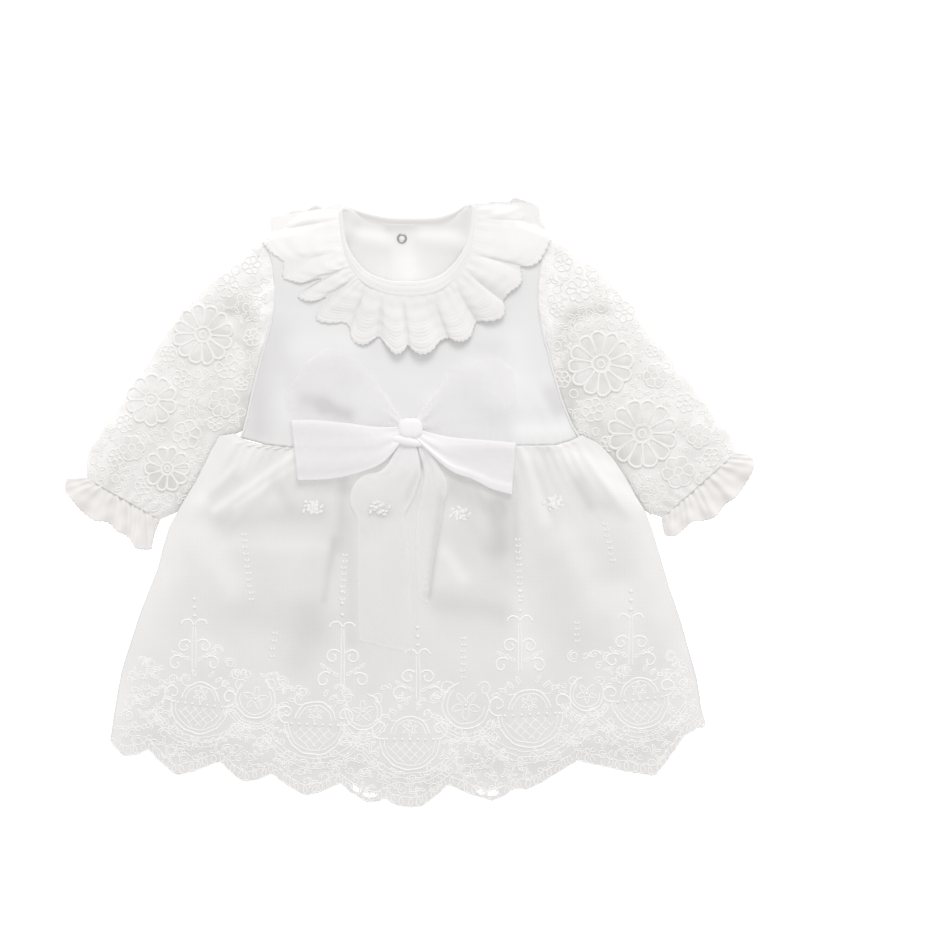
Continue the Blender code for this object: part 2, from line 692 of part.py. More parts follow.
def make_cuff(side, rows, edge, lace):
    last = rows[-1]
    start = Vector(last[0:2])
    end = Vector(last[2:4])
    along = (end - start).normalized()
    out = Vector((along.y, -along.x)) if side == "left" else Vector((-along.y, along.x))
    wide = (end - start).length

    def plan(s, t):
        base = start + along * wide * t + out * 0.5
        free_along, free_out, _ = spline(edge, t)
        free = start + along * free_along + out * (free_out + 0.5)
        place = base.lerp(free, s)
        return place.x, place.y

    def top(s, t):
        free = spline(edge, t)[2]
        return rounded(t) * (3.7 + (free - 3.7) * smooth_step(s))

    tube("cuff_ruffle_" + side, plan, top, 4, 30, SLEEVE_WALL, lace)


def make_binding(cotton):
    """The folded neck binding, one closed ring over the front neck and inside the back neck."""
    steps = 2 * len(BINDING)
    rows = []
    for i in range(steps):
        place = i / 2.0
        first = int(place) % len(BINDING)
        then = (first + 1) % len(BINDING)
        ox, oy, ix, iy = between(BINDING[first], BINDING[then], place - int(place))
        under = ["bodice_front", "bodice_back", "placket", "snap"]
        base = top_of(under, (ox + ix) / 2.0, (oy + iy) / 2.0, 7.0) + CLEAR
        rows.append([ox, oy, ix, iy, base])
    smooth_base = []
    for i in range(steps):
        smooth_base.append(max(rows[(i + k) % steps][4] for k in (-1, 0, 1)))
    points = []
    for i in range(steps):
        ox, oy, ix, iy, _ = rows[i]
        z = smooth_base[i]
        for t, high in ((0.0, 0.0), (0.0, 1.1), (0.3, BIND_WALL), (0.7, BIND_WALL), (1.0, 1.1), (1.0, 0.0)):
            points.append((ox + (ix - ox) * t, oy + (iy - oy) * t, z + high))
    faces = []
    for i in range(steps):
        n = (i + 1) % steps
        for j in range(6):
            k = (j + 1) % 6
            faces.append((i * 6 + j, i * 6 + k, n * 6 + k, n * 6 + j))
    solid("neck_binding", points, faces, cotton, True)


def make_collar_front(lace):
    """The gathered collar ruffle: one section per row of the table, waves growing to its scalloped edge."""
    spread = (0.0, 0.22, 0.45, 0.68, 0.86, 1.0)
    below = ["bodice_front", "bodice_back", "sleeve_left", "sleeve_right"]
    below += ["collar_back_left", "collar_back_right"]
    rows = []
    for ix, iy, ox, oy, lift in COLLAR:
        long = math.dist((ix, iy), (ox, oy))
        # the ruffle lies flatter over the left shoulder and at the far right
        stand = 0.55 + 0.45 * smooth_step((ox + 50.0) / 45.0) - 0.35 * smooth_step((ox - 62.0) / 25.0)
        lift *= COLLAR_LIFT * stand
        row = []
        for v in spread:
            x, y = between((ix, iy), (ox, oy), v)
            base = top_of(below, x, y, 6.0) + CLEAR
            row.append((x, y, base + lift * smooth_step(v * 1.1) * min(1.0, long / 24.0)))
        rows.append(row)
    wide = len(spread)
    count = len(rows) * wide
    low = [point for row in rows for point in row]
    high = [(x, y, z + COLLAR_WALL) for x, y, z in low]
    faces = []
    for i in range(len(rows) - 1):
        for j in range(wide - 1):
            a = i * wide + j
            quad = (a, a + 1, a + wide + 1, a + wide)
            faces.append(quad)
            faces.append(tuple(k + count for k in reversed(quad)))
    edge = [j for j in range(wide)]
    edge += [i * wide + wide - 1 for i in range(1, len(rows))]
    edge += [(len(rows) - 1) * wide + j for j in range(wide - 2, -1, -1)]
    edge += [i * wide for i in range(len(rows) - 2, 0, -1)]
    for i in range(len(edge)):
        a = edge[i - 1]
        b = edge[i]
        faces.append((a, b, b + count, a + count))
    solid("collar_front", low + high, faces, lace, True)


def hem_points():
    """The scalloped hem from left to right."""
    found = []
    for i, (nx, ny, tx, ty, half) in enumerate(HEM):
        ex, ey = HEM[i + 1][0:2] if i + 1 < len(HEM) else HEM_END
        found.append((nx, ny))
        down = (tx - half, ty + 1.2)
        up = (tx + half, ty + 1.2)
        for t, bulge in ((0.35, 0.7), (0.7, 1.0)):
            x, y = between((nx, ny), down, t)
            found.append((x, y - bulge))
        found += [down, (tx, ty), up]
        for t, bulge in ((0.3, 1.0), (0.65, 0.7)):
            x, y = between(up, (ex, ey), t)
            found.append((x, y - bulge))
    found.append(HEM_END)
    return found


def skirt_outline():
    waist = [(x, y - SEAM) for x, y in reversed(WAIST[1:-1])]
    return SKIRT_LEFT + hem_points() + list(reversed(SKIRT_RIGHT)) + waist


def skirt_fold(x, y):
    """Height of the folds and waist gathers of the skirt over its lying panels."""
    total = 0.0
    for ax, ay, bx, by, half, high in FOLDS:
        away, along = near_line(x, y, ax, ay, bx, by)
        total = max(total, high * math.exp(-((away / half) ** 2) * 1.4))
    side = min(line_distance(SKIRT_LEFT, x, y), line_distance(SKIRT_RIGHT, x, y))
    total *= smooth_step(side / 10.0)
    below_waist = line_distance(WAIST, x, y)
    gather = GATHER_HIGH * (1.0 + math.cos(math.tau * x / GATHER_PITCH)) * 0.5
    return total * smooth_step(below_waist / 14.0) + gather * math.exp(-below_waist / GATHER_REACH)


def hem_holes():
    found = []
    for cx, cy, long, wide, tilt in HEM_HOLES:
        turn = math.radians(tilt)
        loop = []
        for i in range(8):
            angle = math.tau * i / 8.0
            u = long * math.cos(angle)
            v = wide * math.sin(angle)
            x = cx + u * math.cos(turn) - v * math.sin(turn)
            y = cy + u * math.sin(turn) + v * math.cos(turn)
            loop.append((x, y))
        found.append(loop)
    return found


def make_skirt(net, cotton):
    outline = skirt_outline()
    holes = hem_holes()
    panel("skirt_back", outline, holes, [], lambda x, y: 0.0, NET_WALL, net)
    lining = SKIRT_LEFT[:-1] + [(-226.0, -160.0), (-150.0, -178.0), (-60.0, -192.0)]
    lining += [(20.0, -196.0), (110.0, -186.0), (180.0, -174.0), (222.0, -150.0)]
    lining += list(reversed(SKIRT_RIGHT[:-1])) + [(x, y - SEAM) for x, y in reversed(WAIST[1:-1])]
    field = fill_points(lining, [], 19.0, lambda x, y: True)

    def lining_under(x, y):
        return NET_WALL + CLEAR + 0.5 * skirt_fold(x, y)

    panel("lining_front", lining, [], field, lining_under, LINING_WALL, cotton)
    coarse = fill_points(outline, holes, 13.0, lambda x, y: y < 22.0)
    fine = fill_points(outline, holes, 7.0, lambda x, y: y >= 22.0)

    def net_under(x, y):
        rest = top_of(["lining_front", "skirt_back"], x, y, 13.0 if y < -130.0 else 8.0) + CLEAR
        return rest + 0.5 * skirt_fold(x, y)

    panel("skirt_front", outline, holes, coarse + fine, net_under, NET_WALL, net)


def make_loop(name, rows, organza):
    """A flattened ribbon loop: lower layer out from the knot, round the tip and back."""
    steps = 8
    across = 4
    below = ["bodice_front", "skirt_front"]
    lower = []
    for i in range(steps + 1):
        s = i / steps
        ux, uy, lx, ly = spline(rows, s)
        line = []
        for j in range(across + 1):
            x, y = between((ux, uy), (lx, ly), j / across)
            line.append((x, y, top_of(below, x, y, 8.0) + CLEAR))
        lower.append(line)
    outer = []
    inner = []
    tip = lower[-1]
    before = lower[-2]
    for i, line in enumerate(lower):
        outer.append(line)
        inner.append([(x, y, z + RIBBON_WALL) for x, y, z in line])
    gap = []
    for i in range(steps + 1):
        open_share = math.sin(math.pi * min(0.85, 0.12 + i / steps)) ** 0.7
        gap.append(max(0.5, LOOP_GAP * open_share))
    end_in = []
    end_out = []
    for (x, y, z), (bx, by, _) in zip(tip, before):
        long = math.dist((x, y), (bx, by))
        ux = (x - bx) / long
        uy = (y - by) / long
        middle = z + RIBBON_WALL + gap[-1] * 0.5
        end_in.append((x + ux * 0.8, y + uy * 0.8, middle))
        end_out.append((x + ux * (0.8 + RIBBON_WALL), y + uy * (0.8 + RIBBON_WALL), middle))
    outer.append(end_out)
    inner.append(end_in)
    for i in range(steps, -1, -1):
        arch = [math.sin(math.pi * (0.15 + 0.7 * j / across)) for j in range(across + 1)]
        over = [z + RIBBON_WALL + max(0.5, gap[i] * arch[j]) for j, (x, y, z) in enumerate(lower[i])]
        inner.append([(x, y, over[j]) for j, (x, y, z) in enumerate(lower[i])])
        outer.append([(x, y, over[j] + RIBBON_WALL) for j, (x, y, z) in enumerate(lower[i])])
    ring_rows = [outer[i] + list(reversed(inner[i])) for i in range(len(outer))]
    close_rows(name, ring_rows, organza)


def close_rows(name, rows, material):
    """Joins rows of equal rings into one body and closes its two ends."""
    ring = len(rows[0])
    points = [point for row in rows for point in row]
    faces = []
    for i in range(len(rows) - 1):
        for j in range(ring):
            k = (j + 1) % ring
            faces.append((i * ring + j, i * ring + k, (i + 1) * ring + k, (i + 1) * ring + j))
    half = ring // 2
    last = (len(rows) - 1) * ring
    for j in range(half - 1):
        faces.append((j, ring - 1 - j, ring - 2 - j, j + 1))
        faces.append((last + j, last + j + 1, last + ring - 2 - j, last + ring - 1 - j))
    solid(name, points, faces, material, True)


def make_tail(name, rows, organza):
    steps = 11
    across = 4
    below = ["skirt_front", "bodice_front"]
    ring_rows = []
    for i in range(steps + 1):
        lx, ly, rx, ry, lift = spline(rows, i / steps)
        low = []
        for j in range(across + 1):
            x, y = between((lx, ly), (rx, ry), j / across)
            arch = math.sin(math.pi * (0.1 + 0.8 * j / across))
            low.append((x, y, top_of(below, x, y, 8.0) + CLEAR + max(0.0, lift) * arch))
        ring_rows.append(low + [(x, y, z + RIBBON_WALL) for x, y, z in reversed(low)])
    close_rows(name, ring_rows, organza)


def make_knot(organza):
    """The band wrapped round the middle of the bow, a small pillow with a dent."""
    cx, cy = -0.7, 57.6
    wide, long, high = 8.4, 10.4, 6.4
    base = top_of(["bodice_front"], cx, cy, 10.0) + CLEAR
    steps = 16
    levels = [(0.82, 0.0), (1.0, 0.35), (0.92, 0.72), (0.62, 0.97)]
    points = [(cx, cy, base)]
    for size, rise in levels:
        for i in range(steps):
            angle = math.tau * i / steps
            ripple = 1.0 + 0.05 * math.cos(5.0 * angle)
            x = cx + wide * size * ripple * math.cos(angle)
            y = cy + long * size * ripple * math.sin(angle)
            points.append((x, y, base + high * rise))
    points.append((cx, cy, base + high * 0.9))
    faces = []
    for i in range(steps):
        k = (i + 1) % steps
        faces.append((0, 1 + k, 1 + i))
        for ring in range(len(levels) - 1):
            low = 1 + ring * steps
            faces.append((low + i, low + k, low + steps + k, low + steps + i))
        top = 1 + (len(levels) - 1) * steps
        faces.append((top + i, top + k, len(points) - 1))
    solid("bow_knot", points, faces, organza, True)


def make_flower(name, side, cx, cy, radius, petals, lace):
    """A flower plate lying on the sleeve, its edge cut between the petals."""
    under = ["sleeve_" + side]
    steps = petals * 3
    rings = (0.36, 0.98)
    flat = [(cx, cy)]
    for size in rings:
        for i in range(steps):
            angle = math.tau * i / steps
            notch = 0.86 if i % 3 == 0 and size > 0.5 else 1.0
            x = cx + radius * size * notch * math.cos(angle)
            y = cy + radius * size * notch * math.sin(angle)
            flat.append((x, y))
    low = [(x, y, top_of(under, x, y, radius * 0.33) + 0.3) for x, y in flat]
    rise = [FLOWER_WALL + 0.2] + [FLOWER_WALL * 0.8] * steps + [FLOWER_WALL] * steps
    high = [(x, y, z + rise[i]) for i, (x, y, z) in enumerate(low)]
    count = len(flat)
    faces = []
    for i in range(steps):
        k = (i + 1) % steps
        faces.append((0, 1 + i, 1 + k))
        faces.append((1 + i, 1 + steps + i, 1 + steps + k, 1 + k))
    body = [tuple(reversed(face)) for face in faces] + [tuple(i + count for i in face) for face in faces]
    for i in range(steps):
        a = 1 + steps + i
        b = 1 + steps + (i + 1) % steps
        body.append((a, b, b + count, a + count))
    solid(name, low + high, body, lace, True)


def build():
    for item in list(bpy.data.objects):
        bpy.data.objects.remove(item)
    cotton = cloth("white_cotton_lawn", (0.86, 0.86, 0.88), 0.85)
    net = cloth("embroidered_white_tulle", (0.84, 0.85, 0.84), 0.9)
    lace = cloth("white_corded_lace", (0.88, 0.87, 0.85), 0.9)
    trim = cloth("white_eyelet_trim", (0.88, 0.87, 0.86), 0.85)
    organza = cloth("white_organza", (0.86, 0.85, 0.9), 0.6)
    metal = cloth("white_enamel_snap", (0.62, 0.62, 0.62), 0.35)
    make_collar_backs(trim)
    make_bodice_back(cotton)
    make_placket(cotton)
    make_snap(metal)
    make_bodice_front(cotton)
    make_sleeve("left", SLEEVE_LEFT, lace)
    make_sleeve("right", SLEEVE_RIGHT, lace)
    make_cuff("left", SLEEVE_LEFT, CUFF_LEFT, trim)
    make_cuff("right", SLEEVE_RIGHT, CUFF_RIGHT, trim)
    make_binding(cotton)
    make_collar_front(trim)
    make_skirt(net, cotton)
    for name, rows in LOOPS.items():
        make_loop(name, rows, organza)
    for name, rows in TAILS.items():
        make_tail(name, rows, organza)
    make_knot(organza)
    for number, (side, cx, cy, radius, petals) in enumerate(FLOWERS):
        make_flower("flower_" + side + "_" + str(number + 1), side, cx, cy, radius, petals, lace)


build()
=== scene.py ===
from math import copysign, cos, dist, exp, hypot, pi, radians, sin, tanh, tau

import bmesh
import bpy
from mathutils import Matrix, Vector
from mathutils.bvhtree import BVHTree
import numpy as np


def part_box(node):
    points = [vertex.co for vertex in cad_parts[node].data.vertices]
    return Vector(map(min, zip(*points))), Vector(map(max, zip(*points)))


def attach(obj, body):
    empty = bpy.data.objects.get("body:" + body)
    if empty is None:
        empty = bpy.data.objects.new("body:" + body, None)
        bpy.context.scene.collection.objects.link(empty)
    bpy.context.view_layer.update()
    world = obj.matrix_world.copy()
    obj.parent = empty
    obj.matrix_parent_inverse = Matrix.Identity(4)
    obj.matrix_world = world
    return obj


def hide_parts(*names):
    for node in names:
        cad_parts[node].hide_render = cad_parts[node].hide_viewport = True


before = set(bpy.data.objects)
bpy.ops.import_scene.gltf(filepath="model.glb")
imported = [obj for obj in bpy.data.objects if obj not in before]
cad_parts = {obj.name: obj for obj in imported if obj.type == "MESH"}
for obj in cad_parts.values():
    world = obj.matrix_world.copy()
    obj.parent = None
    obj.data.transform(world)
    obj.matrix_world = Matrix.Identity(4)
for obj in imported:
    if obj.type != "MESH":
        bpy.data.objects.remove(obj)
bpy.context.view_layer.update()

mm = 0.001
scene = bpy.context.scene


# small helpers: curves through tables of points, and heights of what lies below

def smoothStep(value):
    value = min(1, max(0, value))
    return value * value * (3 - 2 * value)


def bell(away, half):
    # 1 in the middle, falling to 0 a few half widths away
    return exp(-((away / half) ** 2))


def between(a, b, t):
    return tuple(a[i] + (b[i] - a[i]) * t for i in range(len(a)))


def placed(cx, cy, angle, along, side):
    # a point given along and across a direction through cx, cy
    return cx + along * cos(angle) - side * sin(angle), cy + along * sin(angle) + side * cos(angle)


def spline(rows, t):
    # a smooth curve through the rows of a table, t from 0 to 1
    place = t * (len(rows) - 1)
    first = max(0, min(int(place), len(rows) - 2))
    u = place - first
    before = rows[max(first - 1, 0)]
    after = rows[min(first + 2, len(rows) - 1)]
    found = []
    for a, here, there, b in zip(before, rows[first], rows[first + 1], after):
        rise = (there - a) * 0.5
        fall = (b - here) * 0.5
        found.append(
            here * (1 + 2 * u) * (1 - u) ** 2 + rise * u * (1 - u) ** 2
            + there * u * u * (3 - 2 * u) + fall * u * u * (u - 1)
        )
    return tuple(found)


def lookUp(points, value, key=0):
    # reads a polyline as a function: key 0 gives y at an x, key 1 gives x at a y
    other = 1 - key
    row = points if points[-1][key] >= points[0][key] else points[::-1]
    if value <= row[0][key]:
        return row[0][other]
    for a, b in zip(row, row[1:]):
        if value <= b[key]:
            t = (value - a[key]) / max(1e-6, b[key] - a[key])
            return a[other] + (b[other] - a[other]) * t
    return row[-1][other]


def nearLine(x, y, ax, ay, bx, by):
    dx = bx - ax
    dy = by - ay
    along = ((x - ax) * dx + (y - ay) * dy) / (dx * dx + dy * dy)
    along = min(1, max(0, along))
    return hypot(x - ax - dx * along, y - ay - dy * along), along


def lineDistance(points, x, y):
    return min(nearLine(x, y, *a, *b)[0] for a, b in zip(points, points[1:]))


# tables of folds and of painted light and shade have rows of start x, y, end x, y, half width and height or
# amount

def foldsAt(rows, x, y, steep=1, inset=0.5):
    # height of soft folds, which die away at their ends by an inset under a half
    total = 0
    for ax, ay, bx, by, half, high in rows:
        away, along = nearLine(x, y, ax, ay, bx, by)
        total += high * exp(-((away / half) ** 2) * steep) * sin(pi * (inset + (1 - 2 * inset) * along))
    return total


def paintedLightOf(rows, x, y):
    # painted light (above 0) and painted shade (below 0) along soft lines, at most 1 either way
    total = 0
    for ax, ay, bx, by, half, amount in rows:
        away = nearLine(x, y, ax, ay, bx, by)[0] / half
        if away < 3:
            total += amount * exp(-away * away)
    return max(-1, min(1, total))


def relief(node, pitch=2, blur=3):
    # the upper face of a frame solid in millimetres, softened so that no facet shows
    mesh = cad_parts[node].data
    corners = [vertex.co / mm for vertex in mesh.vertices]
    tree = BVHTree.FromPolygons(corners, [list(polygon.vertices) for polygon in mesh.polygons])
    low = [min(c[i] for c in corners) - 8 for i in (0, 1)]
    high = [max(c[i] for c in corners) + 8 for i in (0, 1)]
    wide = int((high[0] - low[0]) / pitch) + 2
    tall = int((high[1] - low[1]) / pitch) + 2
    field = np.zeros((tall, wide))
    known = np.zeros((tall, wide))
    down = Vector((0, 0, -1))
    for j in range(tall):
        for i in range(wide):
            hit = tree.ray_cast(Vector((low[0] + i * pitch, low[1] + j * pitch, 100)), down)[0]
            if hit is not None:
                field[j, i] = hit.z
                known[j, i] = 1

    def spread(values):
        padded = np.pad(values, 1, mode="edge")
        rows = padded[:-2] + 2 * padded[1:-1] + padded[2:]
        return rows[:, :-2] + 2 * rows[:, 1:-1] + rows[:, 2:]

    def soften(values, weight, times):
        total = values * weight
        for _ in range(times):
            total = spread(total) / 16
            weight = spread(weight) / 16
        return total / np.maximum(weight, 1e-9), weight

    wideField, reach = soften(field, known, 10)
    filled = np.where(known > 0.5, field, np.where(reach > 1e-7, wideField, 0))
    if blur:
        filled = np.where(known > 0.5, soften(field, known, blur)[0], filled)
        filled = soften(filled, np.ones_like(filled), 1)[0]

    def heightAt(x, y):
        px = min(max((x - low[0]) / pitch, 0), wide - 1.001)
        py = min(max((y - low[1]) / pitch, 0), tall - 1.001)
        i = int(px)
        j = int(py)
        u = px - i
        v = py - j
        bottom = filled[j, i] * (1 - u) + filled[j, i + 1] * u
        top = filled[j + 1, i] * (1 - u) + filled[j + 1, i + 1] * u
        return float(bottom * (1 - v) + top * v)

    return heightAt


# materials

def hexColour(code):
    # sRGB hex to the linear colour the shader works in
    parts = [int(code[i:i + 2], 16) / 255 for i in (1, 3, 5)]
    return tuple(p / 12.92 if p <= 0.04045 else ((p + 0.055) / 1.055) ** 2.4 for p in parts) + (1,)


def setInputs(node, settings):
    for key, value in settings.items():
        node.inputs[key].default_value = value


def addNode(tree, kind, settings, links):
    # one node with its settings and what feeds it
    node = tree.nodes.new("ShaderNode" + kind)
    for key, value in settings.items():
        if isinstance(key, int) or key in node.inputs:
            node.inputs[key].default_value = value
        else:
            setattr(node, key, value)
    for key, source in links.items():
        tree.links.new(source, node.inputs[key])
    return node


def newMaterial(name, colour, roughness, sheen=0, metallic=0, paintedGlow=0.05):
    material = bpy.data.materials.new(name)
    material.use_nodes = True
    tree = material.node_tree
    shader = tree.nodes["Principled BSDF"]
    # every cloth gets a little painted glow of its own, which lifts its shade
    setInputs(shader, {
        "Base Color": hexColour(colour), "Roughness": roughness, "Metallic": metallic, "Sheen Weight": sheen,
        "Sheen Roughness": 0.5, "Specular IOR Level": 0.3, "Emission Color": (1, 1, 1, 1),
        "Emission Strength": paintedGlow,
    })
    places = addNode(tree, "TexCoord", {}, {}).outputs
    return material, tree, shader, places


def paintedLightAndDrift(tree, shader, places, light, middle, dark, size, drift=0.06):
    # painted light and shade from each piece's attribute, on a ramp from the shade colour through the middle
    # colour to the light colour, with a slow uneven drift of washed cloth, size in millimetres
    patch = addNode(tree, "TexNoise", {"Scale": 1000 / size, "Detail": 3}, {"Vector": places["Object"]})
    slow = addNode(
        tree, "MapRange", {"From Min": 0.3, "From Max": 0.7, "To Min": 0.5 - drift, "To Max": 0.5 + drift},
        {"Value": patch.outputs["Fac"]},
    )
    # each piece's painted light and shade, from -1 to 1
    full = addNode(tree, "Attribute", {"attribute_name": "paintedLight", "attribute_type": "GEOMETRY"}, {})
    both = addNode(
        tree, "Math", {"operation": "MULTIPLY_ADD", 1: 0.5},
        {0: full.outputs["Fac"], 2: slow.outputs["Result"]},
    )
    ramp = addNode(tree, "ValToRGB", {}, {"Fac": both.outputs["Value"]})
    ends = ramp.color_ramp.elements
    ends[0].color = hexColour(dark)
    ends[1].color = hexColour(light)
    ends.new(0.5).color = hexColour(middle)
    tree.links.new(ramp.outputs["Color"], shader.inputs["Base Color"])
    return ramp


def weaveHeight(tree, place, pitch):
    # warp and weft as two crossed bands, pitch in millimetres
    bands = [
        addNode(
            tree, "TexWave",
            {"Scale": 50 / pitch, "Distortion": 0.6, "Detail": 1, "bands_direction": direction},
            {"Vector": place},
        ).outputs["Fac"]
        for direction in ("X", "Y")
    ]
    return addNode(tree, "Math", {"operation": "ADD"}, {0: bands[0], 1: bands[1]}).outputs["Value"]


def addBump(tree, shader, height, strength, distance):
    bump = addNode(tree, "Bump", {"Strength": strength, "Distance": distance * mm}, {"Height": height})
    tree.links.new(bump.outputs["Normal"], shader.inputs["Normal"])


def lawnMaterial(name, light, middle, dark):
    # fine plain woven cotton, matt with a faint nap; threads drawn 1.6 mm apart so that they show
    material, tree, shader, places = newMaterial(name, middle, 0.85, sheen=0.15)
    paintedLightAndDrift(tree, shader, places, light, middle, dark, 60)
    addBump(tree, shader, weaveHeight(tree, places["Object"], 1.6), 0.25, 0.12)
    return material


def meshDistance(tree, places, size, uneven):
    # distance to the nearest thread of a net with holes of a size in millimetres
    return addNode(
        tree, "TexVoronoi",
        {"Scale": 1000 / size, "Randomness": uneven, "feature": "DISTANCE_TO_EDGE", "voronoi_dimensions": "2D"},
        {"Vector": places["Object"]},
    ).outputs["Distance"]


def netMaterial():
    # soft polyester tulle with holes drawn 1.6 mm wide so that they show; thread stays, holes let light by
    material, tree, shader, places = newMaterial("embroideredTulle", "#E6E4E2", 0.85, sheen=0.1)
    paintedLightAndDrift(tree, shader, places, "#FAF9F8", "#E6E4E2", "#CBC9C7", 45)
    hole = addNode(
        tree, "MapRange", {"From Min": 0.08, "From Max": 0.34, "To Min": 0.93, "To Max": 0.87},
        {"Value": meshDistance(tree, places, 1.6, 0.35)},
    ).outputs["Result"]
    tree.links.new(hole, shader.inputs["Alpha"])
    addBump(tree, shader, hole, 0.08, 0.08)
    return material


def laceMaterial():
    # dense cotton lace ground: knotted threads with pinholes, creamy and quite matt
    material, tree, shader, places = newMaterial("cordedLaceGround", "#E4E2DF", 0.9, sheen=0.1)
    knots = meshDistance(tree, places, 2.4, 0.8)
    ramp = paintedLightAndDrift(tree, shader, places, "#F9F8F7", "#E7E5E3", "#CFCDCA", 14, 0.2)
    # the pinholes are painted darker, as painted shade inside them
    pinholeShade = addNode(
        tree, "MapRange", {"From Min": 0.2, "From Max": 0.5, "To Min": 0, "To Max": 0.45}, {"Value": knots},
    )
    shade = addNode(
        tree, "Mix", {"data_type": "RGBA"}, {"Factor": pinholeShade.outputs["Result"], "A": ramp.outputs["Color"]},
    )
    shade.inputs["B"].default_value = hexColour("#D8D6D2")
    tree.links.new(shade.outputs["Result"], shader.inputs["Base Color"])
    raised = addNode(tree, "Math", {"operation": "SUBTRACT", 0: 1}, {1: knots})
    addBump(tree, shader, raised.outputs["Value"], 0.22, 0.25)
    return material


def threadMaterial(name, colour):
    # mercerised cotton embroidery thread: soft lustre, twist drawn 1.4 mm long so that it shows
    material, tree, shader, places = newMaterial(name, colour, 0.6, sheen=0.1)
    twist = addNode(tree, "TexNoise", {"Scale": 1000 / 1.4, "Detail": 2}, {"Vector": places["Object"]})
    addBump(tree, shader, twist.outputs["Fac"], 0.35, 0.2)
    return material


def trimMaterial(name, light, middle, dark, stitch):
    # schiffli trim on cotton: rows of satin stitch run along the ruffle, a stitch apart in millimetres
    material, tree, shader, places = newMaterial(name, middle, 0.8, sheen=0.15)
    paintedLightAndDrift(tree, shader, places, light, middle, dark, 12)
    rows = addNode(
        tree, "TexWave",
        {"Scale": 50 / stitch, "Distortion": 2.2, "Detail": 2, "Detail Scale": 1.5, "bands_direction": "Y"},
        {"Vector": places["UV"]},
    )
    addBump(tree, shader, rows.outputs["Fac"], 0.7, 0.4)
    return material


def organzaMaterial():
    # crisp sheer organza: thin even cloth, clearer in the middle, closed along its rolled edges
    # the organza is given a little more painted glow
    material, tree, shader, places = newMaterial("rolledEdgeOrganza", "#F3F1F2", 0.6, paintedGlow=0.07)
    rim = addNode(tree, "Attribute", {"attribute_name": "rim", "attribute_type": "GEOMETRY"}, {})
    cover = addNode(tree, "MapRange", {"To Max": 0.9}, {"Value": rim.outputs["Fac"]})
    tree.links.new(cover.outputs["Result"], shader.inputs["Alpha"])
    addBump(tree, shader, weaveHeight(tree, places["UV"], 1.5), 0.15, 0.08)
    return material


def nickelMaterial():
    # nickel plated brass, tumbled bright
    material, tree, shader, places = newMaterial("tumbledNickel", "#B4B4B8", 0.35, metallic=1, paintedGlow=0)
    wear = addNode(tree, "TexNoise", {"Scale": 1000 / 0.9, "Detail": 3}, {"Vector": places["Object"]})
    rough = addNode(tree, "MapRange", {"To Min": 0.24, "To Max": 0.45}, {"Value": wear.outputs["Fac"]})
    tree.links.new(rough.outputs["Result"], shader.inputs["Roughness"])
    return material


lawn = lawnMaterial("whiteCottonLawn", "#F3F3F3", "#E3E2E2", "#CDCACB")
# a lighter copy of the same white cotton lawn: painted light on the pieces in and around the neck
litInnerLawn = lawnMaterial("whiteLitBackLawn", "#F9F8F7", "#EBE9E8", "#D8D6D5")
liningLawn = lawnMaterial("whiteLiningLawn", "#EEECEA", "#E4E2E0", "#DAD8D6")
tulle = netMaterial()
laceGround = laceMaterial()
thread = threadMaterial("mercerisedThread", "#F5F3F1")
laceThread = threadMaterial("laceCordCotton", "#ECEAE7")
collarTrim = trimMaterial("satinStitchTrim", "#F4F3F2", "#E6E4E3", "#D5D3D2", 1.7)
cuffTrim = trimMaterial("ivoryCuffTrim", "#F3F1EF", "#E7E4E2", "#D8D4D2", 1.9)
organza = organzaMaterial()
nickel = nickelMaterial()
print("materials ready")


# making pieces

def finishPiece(mesh, name, finish, slotName, nodes=(), thick=0):
    for polygon in mesh.polygons:
        polygon.use_smooth = True
    mesh.materials.clear()
    mesh.materials.append(finish)
    piece = bpy.data.objects.new(name, mesh)
    scene.collection.objects.link(piece)
    if thick:
        wall = piece.modifiers.new("clothThickness", "SOLIDIFY")
        wall.thickness = thick * mm
        wall.offset = -1
        wall.use_quality_normals = True
    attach(piece, "root")
    if nodes:
        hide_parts(*nodes)
    return piece


def keepPiece(bm, name, *rest):
    mesh = bpy.data.meshes.new(name)
    bm.to_mesh(mesh)
    bm.free()
    return finishPiece(mesh, name, *rest)


def makeCloth(name, columns, rows, place, finish, slotName, nodes, thick=0, size=(100, 100),
              wrap=False, drop=None, rim=None, paintedLight=None):
    # a grid laid by place(u, v) in millimetres; size scales its UV map, and the last function, of x, y, u and
    # v, gives the painted light and shade on it
    bm = bmesh.new()
    bmesh.ops.create_grid(bm, x_segments=columns, y_segments=rows, size=0.5)
    uvLayer = bm.loops.layers.uv.new("cloth")
    rimLayer = bm.verts.layers.float.new("rim") if rim else None
    paintedLightLayer = bm.verts.layers.float.new("paintedLight") if paintedLight else None
    spots = {vert: (vert.co.x + 0.5, vert.co.y + 0.5) for vert in bm.verts}
    for face in bm.faces:
        for loop in face.loops:
            u, v = spots[loop.vert]
            loop[uvLayer].uv = (u * size[0] * mm, v * size[1] * mm)
    for vert, (u, v) in spots.items():
        vert.co = Vector(place(u, v)) * mm
        if rim:
            vert[rimLayer] = rim(u, v)
        if paintedLight:
            vert[paintedLightLayer] = paintedLight(vert.co.x / mm, vert.co.y / mm, u, v)
    if drop:
        gone = [f for f in bm.faces if drop(f.calc_center_median() / mm)]
        bmesh.ops.delete(bm, geom=gone, context="FACES")
    if wrap:
        # a tube or a ring is closed where its edges meet
        bmesh.ops.remove_doubles(bm, verts=bm.verts[:], dist=0.00001)
        bmesh.ops.recalc_face_normals(bm, faces=bm.faces[:])
    bm.normal_update()
    if not wrap and sum(f.normal.z * f.calc_area() for f in bm.faces) < 0:
        bmesh.ops.reverse_faces(bm, faces=bm.faces[:])
    return keepPiece(bm, name, finish, slotName, nodes, thick)


